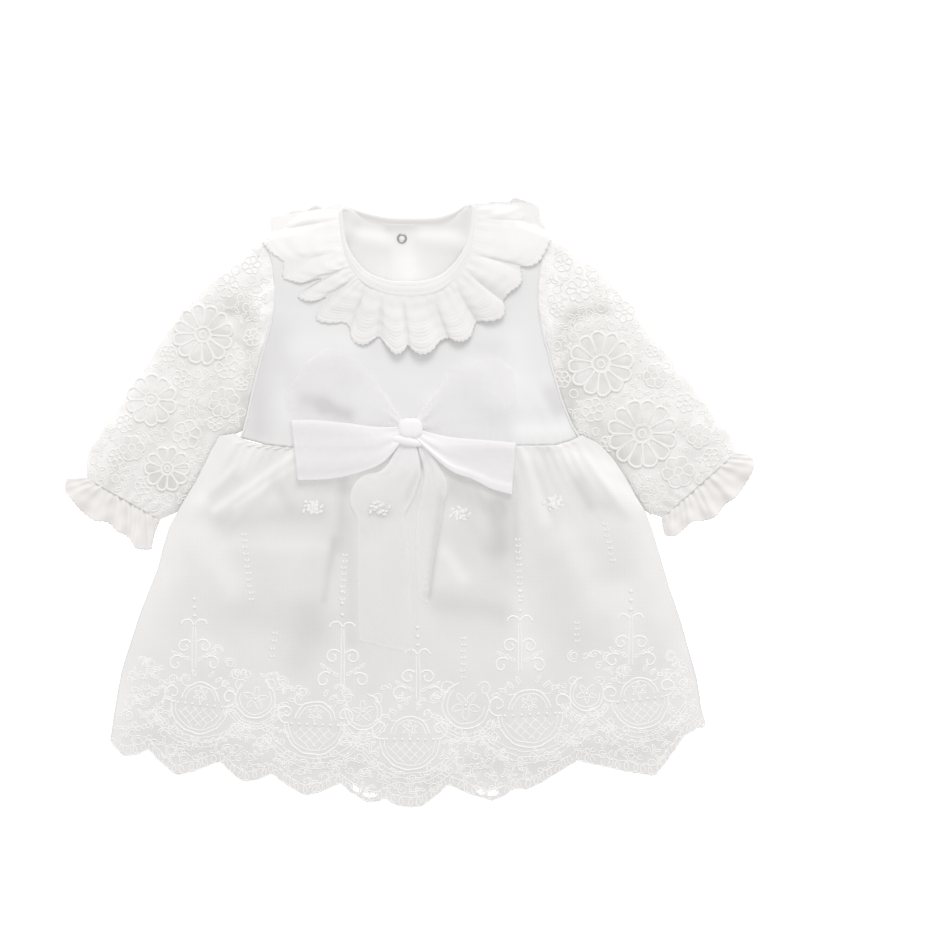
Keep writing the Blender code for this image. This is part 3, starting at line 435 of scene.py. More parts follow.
def makeCords(name, strokes, finish, slotName, sides=1):
    # embroidery cords: each stroke is (points, radius, closed), all in millimetres
    curve = bpy.data.curves.new(name, "CURVE")
    curve.dimensions = "3D"
    curve.bevel_depth = mm
    curve.bevel_resolution = sides
    curve.use_fill_caps = True
    for points, radius, closed in strokes:
        line = curve.splines.new("POLY")
        line.points.add(len(points) - 1)
        for point, (x, y, z) in zip(line.points, points):
            point.co = (x * mm, y * mm, z * mm, 1)
            point.radius = radius
        line.use_cyclic_u = closed
    holder = bpy.data.objects.new(name + "Path", curve)
    scene.collection.objects.link(holder)
    bpy.context.view_layer.update()
    mesh = bpy.data.meshes.new_from_object(holder.evaluated_get(bpy.context.evaluated_depsgraph_get()))
    bpy.data.objects.remove(holder)
    bpy.data.curves.remove(curve)
    mesh.name = name
    finishPiece(mesh, name, finish, slotName)


def addBall(bm, x, y, z, long, wide, turn, high, around=10, levels=5):
    # a flattened ball in millimetres, with its half length, half width and half height
    made = bmesh.ops.create_uvsphere(bm, u_segments=around, v_segments=levels, radius=1)["verts"]
    bmesh.ops.scale(bm, vec=(long * mm, wide * mm, high * mm), verts=made)
    bmesh.ops.rotate(bm, cent=(0, 0, 0), matrix=Matrix.Rotation(turn, 3, "Z"), verts=made)
    bmesh.ops.translate(bm, vec=(x * mm, y * mm, z * mm), verts=made)


def makeBeads(name, beads, top, slotName):
    # satin stitched dots and petals on a cloth: x, y, half length, half width, turn, half height
    bm = bmesh.new()
    for x, y, *form in beads:
        addBall(bm, x, y, top(x, y), *form)
    keepPiece(bm, name, laceThread, slotName)


# embroidery strokes, all flat points in millimetres, laid on the cloth afterwards

def arc(cx, cy, r, start, end, steps=0, ry=None):
    steps = steps or max(6, int(abs(end - start) * r / 1.6))
    ry = r if ry is None else ry
    angles = [start + (end - start) * k / steps for k in range(steps + 1)]
    return [(cx + r * cos(a), cy + ry * sin(a)) for a in angles]


def ring(cx, cy, r, ry=None):
    return arc(cx, cy, r, 0, tau, max(10, int(r * 4)), ry)[:-1]


def curl(cx, cy, r, start, turns):
    # a scroll that winds in on itself
    steps = max(12, int(abs(turns) * 20))
    return [
        placed(cx, cy, start + tau * turns * k / steps, r * (1 - 0.75 * k / steps), 0)
        for k in range(steps + 1)
    ]


def leafLoop(x, y, angle, long, wide, steps=9):
    # closed pointed leaf from its foot at x, y
    found = []
    for k in range(steps):
        a = tau * k / steps
        side = wide * 0.5 * sin(a) * (0.75 + 0.25 * cos(a))
        found.append(placed(x, y, angle, long * 0.5 * (1 - cos(a)), side))
    return found


def petalLoop(cx, cy, angle, near, far, half, steps=13):
    # one round-ended petal of a daisy, open towards the middle of the flower
    found = [(near, half * 0.42)]
    for k in range(steps):
        a = pi * (k / (steps - 1))
        found.append((far - half * 0.9 + half * 0.9 * sin(a), half * cos(a)))
    found.append((near, -half * 0.42))
    return [placed(cx, cy, angle, along, side) for along, side in found]


def daisy(cx, cy, radius, petals, turn, cordRadius):
    # corded daisy: a ring in the middle, double in a large one, and looped petals
    middle = radius * 0.26
    strokes = [(ring(cx, cy, middle), cordRadius, True)]
    if radius > 15:
        strokes.append((ring(cx, cy, middle * 0.45), cordRadius * 0.8, True))
    half = pi * radius * 0.76 / petals
    for k in range(petals):
        angle = turn + tau * k / petals
        strokes.append((petalLoop(cx, cy, angle, middle * 1.1, radius, half), cordRadius, True))
    return strokes


def onTop(strokes, top, lift, low, wobble):
    # cords follow the cloth, and never lie quite where they were drawn
    laid = []
    for points, radius, closed in strokes:
        moved = []
        for x, y in points:
            wx = x + wobble * sin(0.31 * y + 0.13 * x) * cos(0.47 * x)
            wy = y + wobble * sin(0.37 * x - 0.17 * y) * cos(0.41 * y)
            moved.append((wx, wy, max(low, (top(wx, wy) or 0) + lift)))
        laid.append((moved, radius, closed))
    return laid


print("helpers ready")


# bodice

bodice = {
    "sideLeft": [
        (-130.4, 51.6), (-128, 57), (-125.4, 67), (-122.2, 82), (-118.6, 97), (-115.4, 110), (-111.2, 124),
    ],
    "sideRight": [
        (130.4, 51.6), (125.4, 59), (120.6, 70), (116.6, 80), (113.2, 92), (109.2, 105), (105.6, 121),
    ],
    "waist": [
        (-130.4, 51.6), (-112, 46.6), (-92.4, 44), (-48, 43.2), (0, 43.4), (44, 44.2), (84.5, 45.4),
        (111.5, 45.8), (130.4, 51.6),
    ],
    "frontNeck": [
        (-54.5, 226), (-53.6, 213), (-51.6, 203), (-47.6, 191), (-40.6, 178.6), (-31, 170), (-20, 165.4),
        (-4, 163.4), (12, 164.6), (22.6, 168.6), (33, 176), (40.6, 185.4), (45.2, 196.4), (47.8, 208),
        (49, 220), (49.2, 229),
    ],
    "backNeck": [
        (-52.6, 228.2), (-41, 225.8), (-28, 221.4), (-14.5, 218.6), (0, 218.2), (14, 218.4), (28, 220.6),
        (40.6, 226.2), (48.6, 231),
    ],
    "slitX": -17,
    "slitBottom": 128,
    "slitHalf": 0.15,
    "columns": 150,
    "rows": 76,
}
armholes = {
    "left": {"top": (-109.5, 204), "bottom": (-110.5, 125.5), "lean": 6},
    "right": {"top": (106, 206), "bottom": (104.5, 123), "lean": -6.5},
}


def armhole(side, t, shift):
    seam = armholes[side]
    x, y = between(seam["top"], seam["bottom"], t)
    return x + seam["lean"] * sin(pi * t) + shift, y


leftEdge = bodice["sideLeft"] + [armhole("left", 1 - t / 12, 0.1) for t in range(13)]
rightEdge = bodice["sideRight"] + [armhole("right", 1 - t / 12, -0.1) for t in range(13)]


def bodicePlan(neck, u, v):
    # waist at v 0, shoulders and neck at v 1
    top = [leftEdge[-1]] + neck + [rightEdge[-1]]
    yLeft = 51.6 + (204 - 51.6) * v
    yRight = 51.6 + (206 - 51.6) * v
    x = lookUp(leftEdge, yLeft, 1) * (1 - u) + lookUp(rightEdge, yRight, 1) * u
    low = lookUp(bodice["waist"], -130.4 + 260.8 * u) - 0.9
    high = lookUp(top, leftEdge[-1][0] * (1 - u) + rightEdge[-1][0] * u)
    return x, low + (high - low) * v


frontTop = relief("bodice_front", 2, 5)
backTop = relief("bodice_back")
print("bodice heights read")

# soft creases of the front
bodiceCreases = [
    (-98, 190, -84, 120, 9, 0.5), (92, 186, 84, 112, 10, 0.6), (-60, 130, -20, 78, 12, 0.5),
    (62, 132, 20, 80, 13, 0.6), (104, 96, 118, 58, 6, 1.2), (92, 92, 112, 54, 6, 0.9),
    (-106, 110, -118, 62, 5, 0.9),
]
# painted light and shade on the front bodice: painted shade down both sides and inside the bow's upper loops,
# painted light in patches between
bodicePaintedLight = [
    (-118.6, 110.9, -117, 58.5, 10.8, -0.6), (-29.3, 109.3, 1.5, 93.9, 16.9, 0.05),
    (-30, 118, 20, 112, 12, 0.05), (50, 98, 70, 82, 14, 0.45), (-34.6, 86.2, -6.2, 61.6, 9.2, 0.3),
    (46.2, 109.3, 78.5, 97, 7.7, 0.3), (86.2, 57, 117, 57, 8.5, 0.8), (109.3, 86.2, 115.5, 73.9, 6.9, -0.6),
    (-84.7, 122.4, -44.7, 124.7, 10.8, 0.3), (15.4, 81.6, 30.8, 91.6, 6.9, 0.25),
    (80.9, 126.3, 92.4, 80.1, 10.8, 0.3), (-98.6, 95.5, -95.5, 64.7, 5.4, 0.2),
    (-104, 132, -97, 96, 12, -0.3), (-80.9, 80.6, -67, 77.2, 6.4, -0.7), (-66, 75, -48, 69, 5.6, -0.95),
    (50.1, 89.3, 65.5, 70.8, 13.1, -0.35), (46.2, 118.6, 69.3, 121.7, 7.7, -0.2),
]


def bodiceFrontTop(x, y):
    waist = lineDistance(bodice["waist"], x, y)
    fold = foldsAt(bodiceCreases, x, y, 1.6, 0.1) * smoothStep(waist / 12)
    pucker = 0.35 * sin(x * 0.9 + 2 * sin(x * 0.21)) * exp(-waist / 5)
    return frontTop(x, y) + fold + pucker


def bodiceFrontPlace(u, v):
    x, y = bodicePlan(bodice["frontNeck"], u, v)
    return x, y, bodiceFrontTop(x, y)


frontBodice = makeCloth(
    "frontBodice", bodice["columns"], bodice["rows"], bodiceFrontPlace, lawn, "cotton", ["bodice_front"], 1,
    (240, 170), paintedLight=lambda x, y, u, v: paintedLightOf(bodicePaintedLight, x, y),
)

# folds, and painted light and shade, seen inside the neck
innerFolds = [
    (-44.7, 206.4, -20, 201.7, 6.9, 1.6), (7.7, 204.8, 44.7, 200.2, 6.9, 1.6),
    (-16.9, 169.4, 13.9, 167.9, 15.4, 1.8), (-50, 226, -47.5, 212, 7, 3.2), (47, 228, 45, 212, 7, 3.2),
]
# painted shade along the back neckline under the band, in its corners and in patches lower down; painted light
# on the raised folds and down the middle
innerPaintedLight = [
    (-40, 190.4, -24.1, 188.3, 9, -0.18), (11.6, 186.3, 34.6, 189.4, 10.8, -0.3),
    (20, 176.3, 27.7, 178.6, 6.2, -0.21), (-3.9, 186.3, -1.5, 169.4, 10.8, 0.24),
    (-38.5, 206.4, -19.2, 204.8, 6.2, 0.28), (11.6, 206.4, 42.4, 204.8, 6.9, 0.21),
    (-49.3, 224.8, -44.7, 215.6, 6.9, -0.63), (43.1, 224.8, 43.1, 214.1, 6.2, -0.7),
    (-40, 217, -19.2, 213.6, 4.4, -0.5), (-13.9, 213, 34.6, 215, 4.4, -0.55), (-14, 213, 0, 213.6, 7, -0.45),
    (-3, 196, 2, 180, 8, 0.25),
]


def backPlace(u, v):
    x, y = bodicePlan(bodice["backNeck"], u, v)
    # columns beside the slit are drawn to its two edges
    if y > bodice["slitBottom"] - 10:
        pull = smoothStep((y - bodice["slitBottom"] + 10) / 8)
        away = x - bodice["slitX"]
        if abs(away) < 1.9:
            side = copysign(bodice["slitHalf"], away)
            x += (bodice["slitX"] + side - x) * pull * (1 - smoothStep(abs(away) - 0.9))
    return x, y, backTop(x, y) + foldsAt(innerFolds, x, y)


def inSlit(centre):
    return abs(centre.x - bodice["slitX"]) < bodice["slitHalf"] * 0.8 and centre.y > bodice["slitBottom"]


backBodice = makeCloth(
    "backBodice", bodice["columns"], bodice["rows"], backPlace, litInnerLawn, "cotton", ["bodice_back"], 0.9,
    (240, 170), drop=inSlit, paintedLight=lambda x, y, u, v: paintedLightOf(innerPaintedLight, x, y),
)
print("bodice made")

# placket: a folded strip beside the slit, with the raised folds of the panel inside the neck
# the ring snap on it is given by a profile of radius and height
snap = {
    "x": -6.2, "y": 204.5,
    "profile": [(2.3, -0.2), (2.3, 0.4), (2.6, 0.75), (3.1, 0.85), (3.6, 0.65), (3.9, 0.3), (3.9, -0.2)],
}
placket = {"left": -19.8, "wide": 25.4, "top": 215.6, "long": 88}
placketTop = relief("placket", 1.5, 2)


def placketPlace(u, v):
    x = placket["left"] + placket["wide"] * u
    y = placket["top"] - placket["long"] * (1 - v)
    inward = min(u, 1 - u) * placket["wide"]
    stitched = 0.05 * bell(inward - 2.2, 0.5)
    # its folded edges are stitched down into the panel
    low = backTop(x, y) + 0.12 - 0.4 * (1 - smoothStep(inward / 1.6))
    high = placketTop(x, min(y, 212)) - 0.5
    # the ring snap holds the strip up, and the cloth swells through it
    away = hypot(x - snap["x"], y - snap["y"])
    held = 0.8 * bell(away, 7) + 0.7 * bell(away, 1.9)
    # the folds of the panel die away beside the snap, which is set flat
    fold = foldsAt(innerFolds, x, y) * (1 - 0.9 * bell(away, 8))
    return x, y, low + (high - low) * smoothStep(inward / 7) - stitched + held + fold


placketStrip = makeCloth(
    "placketStrip", 44, 84, placketPlace, litInnerLawn, "cotton", ["placket"], 0.4, (22, 84),
    paintedLight=lambda x, y, u, v: paintedLightOf(innerPaintedLight, x, y),
)

# ring snap: a turned ring with an open middle
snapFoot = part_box("snap")[0].z
bm = bmesh.new()
middle = Vector((snap["x"], snap["y"], 0)) * mm
first = [bm.verts.new(middle + Vector((r * mm, 0, snapFoot + h * mm))) for r, h in snap["profile"]]
edges = [bm.edges.new((a, b)) for a, b in zip(first, first[1:] + first[:1])]
bmesh.ops.spin(bm, geom=first + edges, cent=middle, axis=(0, 0, 1), angle=tau, steps=48, use_merge=True)
bmesh.ops.remove_doubles(bm, verts=bm.verts[:], dist=0.000005)
bmesh.ops.recalc_face_normals(bm, faces=bm.faces[:])
keepPiece(bm, "ringSnap", nickel, "snap", ["snap"])
print("placket and snap made")


# sleeves

sleeves = {
    "left": {
        "rows": [
            (-124, 199, -112.3, 121, 4.8), (-144.8, 180.2, -115.3, 111, 5.1),
            (-161.7, 164.8, -118.2, 99, 5.1), (-177.1, 147.8, -121.1, 87, 5.1),
            (-192.5, 126.3, -124.2, 73, 5.1), (-207.9, 101.6, -128.1, 57, 5.1),
            (-223.3, 78.5, -145.6, 49, 5.1), (-237, 59.5, -154.9, 30.4, 5.1), (-247, 43, -168.7, 7.2, 5.1),
            (-250.3, 32, -178.6, -5.6, 4.9), (-249.5, 20, -192.5, -12.3, 4.2),
        ],
        "away": -0.1,
        "valleys": [
            ([(-112, 128), (-122, 140), (-134, 146), (-146, 144)], 5, 1.5),
            ([(-128, 118), (-140, 128), (-152, 130)], 4, 0.9),
        ],
    },
    "right": {
        "rows": [
            (119.4, 201.7, 106.6, 117.6, 4.8), (134.8, 191, 108.9, 106.8, 5.1),
            (148.6, 179.4, 112.4, 95, 5.1), (161.7, 164, 115.7, 83.4, 5.1), (174.8, 148.6, 119.9, 72, 5.1),
            (186.3, 132.4, 124.8, 60.6, 5.1), (197.9, 117.8, 131.6, 51.4, 5.1),
            (209.4, 102.4, 144.2, 43.2, 5.1), (221.8, 87.8, 155, 32.5, 5.1), (233.3, 71.6, 165, 18.2, 5.1),
            (244.1, 58.5, 174.1, 4.2, 5.1), (250.3, 48.5, 181.6, -6, 4.9), (251, 39.3, 194.5, -10.8, 4.2),
        ],
        "away": 0.1,
        "valleys": [
            ([(112, 112), (118, 130), (128, 142), (140, 147), (152, 146)], 5, 2.2),
        ],
    },
}
sleeveGrid = {"around": 96, "along": 110, "upper": 0.66}
# painted light and shade on each sleeve: painted shade along the lower armhole and in its hollows, painted
# light near the shoulder
sleevePaintedLight = {
    "left": [
        (-140.1, 155.5, -124.7, 143.2, 9.2, -0.6), (-121.7, 126.3, -128.6, 57, 5.4, -0.7),
        (-200.2, 18.5, -138.6, -0.8, 12.3, -0.45), (-181, 49.3, -142.5, 49.3, 16.9, -0.2),
        (-227.2, 26.2, -234.8, 9.2, 9.2, -0.3), (-130.9, 186.3, -93.9, 157.1, 16.9, 0.5),
        (-117, 157.1, -110.9, 126.3, 5.4, 0.5), (-200.2, 80.1, -188.7, 91.6, 10.8, 0.2),
    ],
    "right": [
        (124.7, 143.2, 147.8, 147.8, 6.2, -0.65), (120.1, 126.3, 124.7, 68.5, 6.2, -0.7),
        (146.3, 26.2, 177.1, 3.1, 13.9, -0.3), (134.8, 80.1, 157.8, 49.3, 15.4, -0.25),
        (80.9, 186.3, 115.5, 164.8, 16.9, 0.45), (104, 157.1, 109.3, 126.3, 5.4, 0.4),
        (177.1, 80.1, 188.7, 64.7, 10.8, 0.2),
    ],
}


def sleevePaintedLightAt(side, x, y):
    # the sleeve's painted light and shade, with a painted lighter band along its outer edge
    outer = [row[0:2] for row in sleeves[side]["rows"]]
    return paintedLightOf(sleevePaintedLight[side], x, y) + 0.5 * bell(lineDistance(outer, x, y), 17)


def rounded(t):
    # height across a flattened tube, 0 at its edges and 1 in its middle
    return (1 - min(1, abs(2 * t - 1)) ** 3) ** (1 / 2.4)


def sleeveRow(side, s):
    away = sleeves[side]["away"]
    first = (*armhole(side, 0, away), *armhole(side, 1, away), 4.2)
    return spline([first] + sleeves[side]["rows"], s)


def sleevePlan(side, s, t):
    outerX, outerY, innerX, innerY, _ = sleeveRow(side, s)
    lean = armholes[side]["lean"] * sin(pi * t) * max(0, 1 - 2.2 * s)
    x, y = between((outerX, outerY), (innerX, innerY), t)
    return x + lean, y


def sleeveHeight(side, s, t):
    data = sleeves[side]
    high = spline([(3.9,)] + [(row[4],) for row in data["rows"]], s)[0]
    head = 0.4 * sin(tau * 4.5 * t) * max(0, 1 - 3 * s)
    gather = sin(tau * 15 * t + 2 * sin(7 * t))
    head += 0.3 * gather * exp(-s / 0.06) * smoothStep(3 * t)
    cuff = 0.55 * sin(tau * 9 * t) * max(0, 6 * s - 5)
    crease = 0.35 * sin(9 * s + 5 * t) * sin(pi * s)
    x, y = sleevePlan(side, s, t)
    drop = 0
    for line, half, deep in data["valleys"]:
        drop = max(drop, deep * exp(-((lineDistance(line, x, y) / half) ** 2) * 1.4))
    return rounded(t) * (high + head + cuff + crease - drop)


def sleeveTopAt(side):
    # height of the sleeve's upper face by x and y, from a fine set of its own points
    steps = 90
    cells = {}
    for i in range(steps + 1):
        for j in range(steps + 1):
            s = i / steps
            t = j / steps
            x, y = sleevePlan(side, s, t)
            cells.setdefault((int(x // 3), int(y // 3)), []).append((x, y, sleeveHeight(side, s, t)))

    def found(x, y):
        total = 0
        weight = 0
        cx = int(x // 3)
        cy = int(y // 3)
        for i in (-1, 0, 1):
            for j in (-1, 0, 1):
                for px, py, pz in cells.get((cx + i, cy + j), ()):
                    w = 1 / (0.2 + (px - x) ** 2 + (py - y) ** 2)
                    total += w * pz
                    weight += w
        return total / weight if weight else None

    return found


def makeSleeve(side):
    upper = sleeveGrid["upper"]

    def place(u, v):
        if u <= upper:
            t = u / upper
            t = 0.45 * (0.5 - 0.5 * cos(pi * t)) + 0.55 * t
            return (*sleevePlan(side, v, t), max(0, sleeveHeight(side, v, t)))
        t = 1 - (u - upper) / (1 - upper)
        return (*sleevePlan(side, v, t), 0)

    return makeCloth(
        side + "Sleeve", sleeveGrid["around"], sleeveGrid["along"], place, laceGround, "lace",
        ["sleeve_" + side],
        0.9, (160, 200), wrap=True, paintedLight=lambda x, y, u, v: sleevePaintedLightAt(side, x, y),
    )


sleeveTops = {}
for side, flat, area in (("left", (0.172, 0.206), 0.033), ("right", (0.18, 0.214), 0.035)):
    makeSleeve(side)
    sleeveTops[side] = sleeveTopAt(side)
print("sleeves made")

# narrow welt that covers the seam from each shoulder down the side to the waist
welt = {"radius": 1, "sink": 0.35, "steps": 140}
for side, edge in (("left", leftEdge), ("right", rightEdge)):
    line = []
    for k in range(welt["steps"] + 1):
        y = edge[0][1] + (edge[-1][1] - edge[0][1]) * k / welt["steps"]
        x = lookUp(edge, y, 1)
        line.append((x, y, max(frontTop(x, y), 3.2) - welt["sink"]))
    makeCords(side + "SideWelt", [(line, welt["radius"], False)], lawn, "cotton", 3)
print("side welts made")

# corded lace of the sleeves: node, centre x, y, radius, petals, turn
plateFlowers = {
    "right": [
        ("flower_right_1", 147, 107.8, 25.5, 12, 0.1), ("flower_right_2", 178.6, 53.9, 27, 12, 0.3),
        ("flower_right_3", 206.4, 24.6, 12.5, 6, 0.2), ("flower_right_4", 188.5, 98.6, 9.5, 6, 0),
        ("flower_right_5", 222.5, 52.4, 9.5, 6, 0.4),
    ],
    "left": [
        ("flower_left_6", -159.4, 130.2, 23.5, 12, 0.2), ("flower_left_7", -187, 27, 17.5, 10, 0),
        ("flower_left_8", -199, 80, 20, 10, 0.3), ("flower_left_9", -143.5, 78, 12, 8, 0.2),
        ("flower_left_10", -214, 43, 10, 6, 0.1),
    ],
}
# smaller lace flowers between them: centre x, y, radius, petals, turn
smallFlowers = {
    "right": [
        (140.9, 72.4, 9.2, 6, 0.2), (117, 96, 6.5, 6, 0), (165, 148, 8, 6, 0.3), (130, 165, 9.5, 8, 0.1),
        (152, 172, 6.5, 6, 0.5), (196, 124, 6.5, 6, 0.1), (186, 118, 5, 5, 0.6), (212, 78, 7.5, 6, 0.2),
        (232, 36, 7, 6, 0), (118, 186, 7, 6, 0.2), (178, 12, 8, 6, 0.3), (238, 60, 5, 5, 0.1),
        (152, 46, 6, 6, 0), (114, 150, 6, 6, 0.3),
    ],
    "left": [
        (-140.9, 105.5, 9.2, 6, 0.1), (-174.8, 96, 7.5, 6, 0.3), (-172, 53.1, 11, 6, 0.2),
        (-219, 62, 7, 6, 0.4), (-186, 116, 6.5, 6, 0), (-140, 168, 9, 8, 0.2), (-160, 160, 5.5, 5, 0),
        (-122, 184, 7, 6, 0.1), (-150, 62, 6, 6, 0.5), (-226, 36, 7, 6, 0.2), (-205, 14, 7, 6, 0.1),
        (-178, 140, 6.5, 6, 0.4), (-206, 104, 6, 6, 0.2), (-122, 128, 6.5, 6, 0.2), (-130, 92, 5, 5, 0.3),
    ],
}
laceCord = {"big": 1.25, "small": 0.95, "filler": 0.75, "pitch": 8.4, "wobble": 0.5}


def makePlate(side, node, cx, cy, radius, petals, turn):
    # opaque ground of one flower, its petals slightly domed
    def place(u, v):
        angle = tau * u
        wave = abs(cos(0.5 * petals * (angle - turn)))
        x, y = placed(cx, cy, angle, radius * (0.88 + 0.12 * wave ** 0.6) * v, 0)
        under = sleeveTops[side](x, y) or 0
        dome = 0.5 + 0.25 * wave * sin(pi * min(1, max(0, (v - 0.25) / 0.75)))
        return x, y, under + dome * (1 - smoothStep((v - 0.86) / 0.14)) + 0.05

    # each plate carries the sleeve's painted light and shade, set a little darker
    plate = makeCloth(
        side + "LaceFlower" + node.split("_")[-1], petals * 8, 14, place, laceGround, "lace", [node], 0.3,
        (radius * 6, radius), wrap=True, paintedLight=lambda x, y, u, v: sleevePaintedLightAt(side, x, y) - 0.3,
    )


def insideSleeve(side, x, y):
    # how far a point lies inside the sleeve's two edges, or -1 past its ends
    found = []
    for i in range(61):
        s = i / 60
        ox, oy, ix, iy, _ = sleeveRow(side, s)
        dx = ix - ox
        dy = iy - oy
        t = ((x - ox) * dx + (y - oy) * dy) / (dx * dx + dy * dy)
        away = hypot(x - ox - dx * t, y - oy - dy * t)
        found.append((away, s, min(t, 1 - t) * hypot(dx, dy)))
    away, s, margin = min(found)
    return margin if away <= 2.5 and 0.03 <= s <= 0.97 else -1


def sleeveLace(side):
    strokes = []
    taken = []

    def addStrokes(flat, lift, low):
        strokes.extend(onTop(flat, sleeveTops[side], lift, low, laceCord["wobble"]))

    for node, cx, cy, radius, petals, turn in plateFlowers[side]:
        makePlate(side, node, cx, cy, radius, petals, turn)
        cordRadius = laceCord["big"] if radius > 15 else laceCord["small"]
        addStrokes(daisy(cx, cy, radius * 0.97, petals, turn, cordRadius), 0, 1.3)
        taken.append((cx, cy, radius))
    for cx, cy, radius, petals, turn in smallFlowers[side]:
        if insideSleeve(side, cx, cy) >= radius:
            addStrokes(daisy(cx, cy, radius, petals, turn, laceCord["small"]), -0.4, 1)
            taken.append((cx, cy, radius))
    # leaf sprays and rings fill what is left
    rows = sleeves[side]["rows"]
    left = min(min(row[0], row[2]) for row in rows) - 10
    right = max(max(row[0], row[2]) for row in rows) + 10
    pitch = laceCord["pitch"]
    number = 0
    y = -10
    odd = 0
    while y < 205:
        x = left + pitch * 0.5 * odd
        while x < right:
            number += 1
            room = min(hypot(x - cx, y - cy) - r for cx, cy, r in taken)
            if room > 2.6 and insideSleeve(side, x, y) > 4.2:
                if number % 3 == 0:
                    loops = [ring(x, y, min(3.1, room - 0.3))]
                else:
                    long = min(5.2, room)
                    turns = [0.9 * number + tau * k / 3 for k in range(3)]
                    loops = [leafLoop(x, y, turn, long, long * 0.55) for turn in turns]
                addStrokes([(loop, laceCord["filler"], True) for loop in loops], -0.35, 0.8)
            x += pitch
        y += pitch * 0.87
        odd = 1 - odd
    makeCords(side + "SleeveCording", strokes, laceThread, "lace")


sleeveLace("left")
sleeveLace("right")
print("sleeve lace made")


# cuffs

# free edge of each ruffle: along the cuff, out from it, height
cuffs = {
    "left": [
        (-13, 8, 1.8), (-10, 15, 3.6), (-1.5, 19.3, 5.6), (10, 23.6, 3), (22, 24.6, 5.6), (31.5, 21.2, 2.8),
        (41.5, 23.4, 5.4), (47, 22.8, 3.2), (53, 23.9, 4.6), (59.5, 27.3, 5.6), (66.2, 25.4, 3.4),
        (70.6, 22, 5), (68, 15.5, 3), (66.5, 6, 1.6),
    ],
    "right": [
        (-6.5, 6.7, 1.8), (-6.8, 12, 3.6), (-1.7, 17.9, 5.6), (10.5, 22.5, 3), (23, 25, 5.6),
        (32.3, 23.9, 2.8), (44.2, 25.7, 5.6), (52, 23, 3), (60, 17, 5), (69.3, 17, 3), (77, 16.4, 5.4),
        (82.7, 11.3, 3.6), (80.4, 5.2, 1.6),
    ],
}


def makeCuff(side):
    last = sleeves[side]["rows"][-1]
    start = Vector(last[0:2])
    end = Vector(last[2:4])
    along = (end - start).normalized()
    out = Vector((along.y, -along.x)) if side == "left" else Vector((-along.y, along.x))
    wide = (end - start).length
    edge = cuffs[side]

    def plan(s, t):
        base = start + along * wide * t - out * 1.2
        freeAlong, freeOut, _ = spline(edge, t)
        picot = 0.7 * abs(sin(pi * 34 * t)) * smoothStep((s - 0.8) * 5)
        free = start + along * freeAlong + out * (freeOut + 0.2 + picot)
        return tuple(base.lerp(free, s))

    def high(s, t):
        free = spline(edge, t)[2]
        gather = 0.5 * sin(tau * 15 * t + 1.5 * sin(9 * t)) * (1 - 0.55 * s)
        gather += 0.6 * sin(17 * t + 4 * s) * sin(5 * s + 23 * t)
        dent = 0.5 * bell(s - 0.06, 0.07)
        return max(0.2, rounded(t) * (3.9 + (free - 3.7) * smoothStep(s) + gather - dent))

    def place(u, v):
        if u <= 0.68:
            t = u / 0.68
            return (*plan(v, t), high(v, t))
        t = 1 - (u - 0.68) / 0.32
        return (*plan(v, t), 0)

    # painted light on the high parts of the ruffle and painted shade on its low parts
    return makeCloth(
        side + "CuffRuffle", 240, 22, place, cuffTrim, "trim", ["cuff_ruffle_" + side], 0.7, (150, 24),
        wrap=True, paintedLight=lambda x, y, u, v: 0.2 * (high(v, min(1, u / 0.68)) - 4.4),
    )


for side, flat in (("left", (0.15, 0.024)), ("right", (0.16, 0.022))):
    makeCuff(side)
print("cuffs made")


# neck binding

# sections round the band: outer edge x, y, inner edge x, y
binding = [
    (-54.6, 224.8, -51.4, 224.8), (-54.2, 214.8, -51, 214.8), (-53, 203.4, -49.4, 204.8),
    (-50, 191, -45.4, 194), (-44.6, 179.6, -39.2, 184.8), (-36.8, 170.4, -31.4, 177.8),
    (-26.2, 164.2, -22.4, 174), (-15.4, 160.4, -13, 171.6), (-3.8, 159.2, -3.8, 171.4),
    (7.8, 159.6, 6.2, 171.6), (18.4, 161.8, 15.4, 173.2), (28.4, 167.2, 24, 177), (36.8, 174.8, 31.6, 183.2),
    (43, 184.8, 37.8, 190.8), (47, 195.6, 42.4, 199.4), (49.4, 207.2, 45.6, 209.4), (50.2, 218.6, 47, 219.4),
    (50.2, 229.2, 46.8, 228.6), (44.6, 231.8, 41.6, 225.6), (34.6, 225.6, 33.2, 218.8),
    (23.2, 221.8, 23.2, 214.2), (11.6, 220.6, 11.6, 213.4), (-1.6, 220.6, -1.6, 213.4),
    (-15.4, 221, -14.6, 214), (-29.2, 223.4, -27.8, 216.4), (-40.8, 226.8, -38.6, 220.2),
    (-49.2, 230.2, -46.2, 224.8),
]
bandTop = relief("neck_binding", 1, 2)


def closedSpline(rows, t):
    # the same smooth curve on a ring of rows
    count = len(rows)
    place = (t % 1) * count
    first = int(place) % count
    four = [rows[(first + k) % count] for k in (-1, 0, 1, 2)]
    return spline(four, (1 + place - int(place)) / 3)


def bandBack(x, y):
    # 1 along the back of the neck, 0 at its sides and front
    return smoothStep((y - 209) / 8) * (1 - smoothStep((abs(x + 1) - 38) / 12))


def bandPaintedShade(x, y, u, v):
    # painted shade along the back of the band, rising from its outer edge and easing towards its inner edge
    across = 0.5 - 0.5 * cos(tau * v)
    return -0.85 * bandBack(x, y) * smoothStep(across * 2) * (1 - 0.6 * smoothStep((across - 0.7) / 0.3))


def bandSection(u, across):
    # a point of the band and the middle of its section
    ox, oy, ix, iy = closedSpline(binding, u)
    return (*between((ox, oy), (ix, iy), across), (ox + ix) / 2, (oy + iy) / 2, oy)


